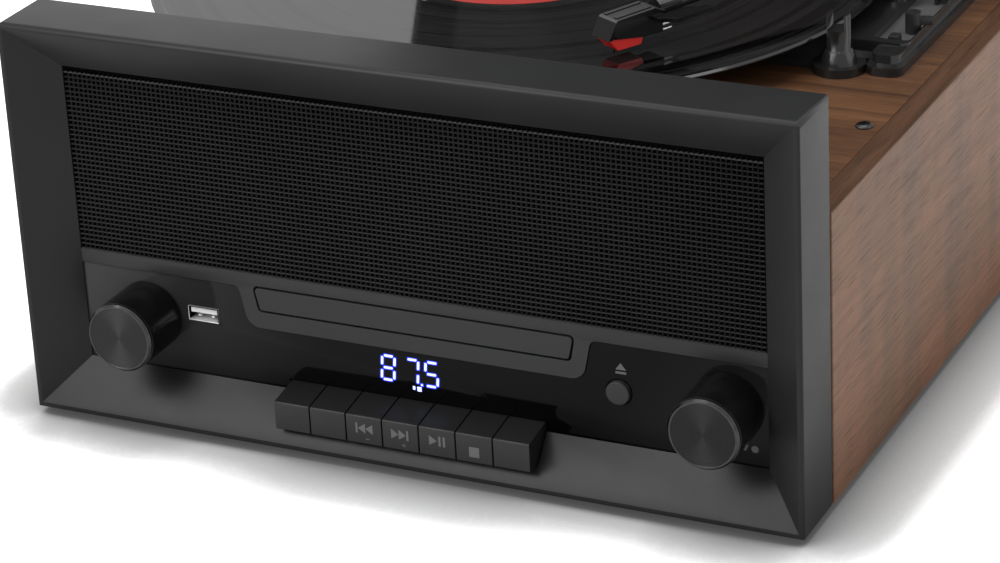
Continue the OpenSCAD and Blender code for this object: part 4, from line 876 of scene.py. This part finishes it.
# Small parts on the deck: new name, finish and edge width
deckParts = {
    "turntable_chassis": ("turntable_plate", softBlack, 0.3),
    "transport_screws": ("transport_screw_heads", screwBlack, 0.12),
    "auto_stop_switch": ("auto_stop_slider", softBlack, 0.2),
    "speed_switch": ("speed_lever", softBlack, 0.2),
    "cue_lever": ("cue_lever_arm", softBlack, 0.2),
    "lift_platform": ("lift_bar", softBlack, 0.15),
    "arm_yoke": ("arm_yoke_moulding", satinBlack, 0.3),
}
for node, (name, finish, width) in deckParts.items():
    softened(node, name, [finish], width)
print("deck, boards and arm parts")

# Floor and background. Both are whiter to the camera and in reflections than as a light source
studio = {"size": 6, "floorLit": grey(0.55), "floorSeen": grey(0.82), "glowSeen": 0.32,
          "glowStraight": 0.45, "shadeReach": 0.038, "ambient": 0.40, "seen": 1.0,
          "shade": [(0.42, grey(0.08)), (0.90, grey(0.45)), (0.985, grey(1.0))]}


def seenOrMirrored(tree):
    # 1 for what the camera sees, directly or in a reflection, and 0 for light that falls on things
    path = tree.nodes.new("ShaderNodeLightPath")
    either = calc(tree, "MAXIMUM", path.outputs["Is Camera Ray"], path.outputs["Is Glossy Ray"])
    return calc(tree, "MAXIMUM", either, path.outputs["Is Transmission Ray"])


def whiteFloorFinish():
    mat, tree, shader = newFinish("white floor")
    shader.inputs["Roughness"].default_value = 0.7
    shader.inputs["Specular IOR Level"].default_value = 0.1
    seen = seenOrMirrored(tree)
    # Ambient occlusion darkens the floor's colour and glow near the object: a painted contact shadow
    nearby = tree.nodes.new("ShaderNodeAmbientOcclusion")
    nearby.samples = 16
    nearby.inputs["Distance"].default_value = studio["shadeReach"]
    shade = ramp(tree, nearby.outputs["AO"], studio["shade"])
    seenColour = blended(tree, 1.0, shade, studio["floorSeen"], "MULTIPLY")
    tree.links.new(blended(tree, seen, studio["floorLit"], seenColour), shader.inputs["Base Color"])
    tree.links.new(shade, shader.inputs["Emission Color"])
    straight = tree.nodes.new("ShaderNodeLightPath").outputs["Is Camera Ray"]
    glow = calc(tree, "MULTIPLY_ADD", straight, studio["glowStraight"],
                calc(tree, "MULTIPLY", seen, studio["glowSeen"]))
    tree.links.new(glow, shader.inputs["Emission Strength"])
    return mat


def makeFloor():
    mesh = bmesh.new()
    bmesh.ops.create_grid(mesh, x_segments=1, y_segments=1, size=studio["size"])
    data = bpy.data.meshes.new("floor")
    mesh.to_mesh(data)
    mesh.free()
    data.materials.append(whiteFloorFinish())
    floor = bpy.data.objects.new("floor", data)
    bpy.context.scene.collection.objects.link(floor)


def makeBackground():
    world = bpy.data.worlds.new("studio")
    bpy.context.scene.world = world
    world.use_nodes = True
    tree = world.node_tree
    background = tree.nodes["Background"]
    background.inputs["Color"].default_value = (1, 1, 1, 1)
    brightness = calc(tree, "MULTIPLY_ADD", seenOrMirrored(tree), studio["seen"] - studio["ambient"],
                      studio["ambient"])
    tree.links.new(brightness, background.inputs["Strength"])


makeFloor()
makeBackground()
print("floor and background")

# Softboxes: place, target, size and power
softboxes = {
    "overhead softbox": ((0.0, 0.1, 1.9), (0, 0, 0.1), (1.6, 1.6), 19),
    "front softbox": ((-0.68, -1.19, 1.21), (0, -0.15, 0.05), (1.1, 1.1), 18),
    "right softbox": ((1.6, 0.3, 1.0), (0.1, 0, 0.1), (1.2, 1.2), 6),
}


def addLamp(name, spot, target, size, power):
    lamp = bpy.data.lights.new(name, "AREA")
    lamp.shape = "RECTANGLE"
    lamp.size, lamp.size_y = size
    lamp.energy = power
    holder = bpy.data.objects.new(name, lamp)
    holder.location = spot
    holder.rotation_euler = (Vector(target) - Vector(spot)).to_track_quat("-Z", "Y").to_euler()
    bpy.context.scene.collection.objects.link(holder)


for name, settings in softboxes.items():
    addLamp(name, *settings)
print("lights")

bpy.context.scene.view_settings.view_transform = "Standard"
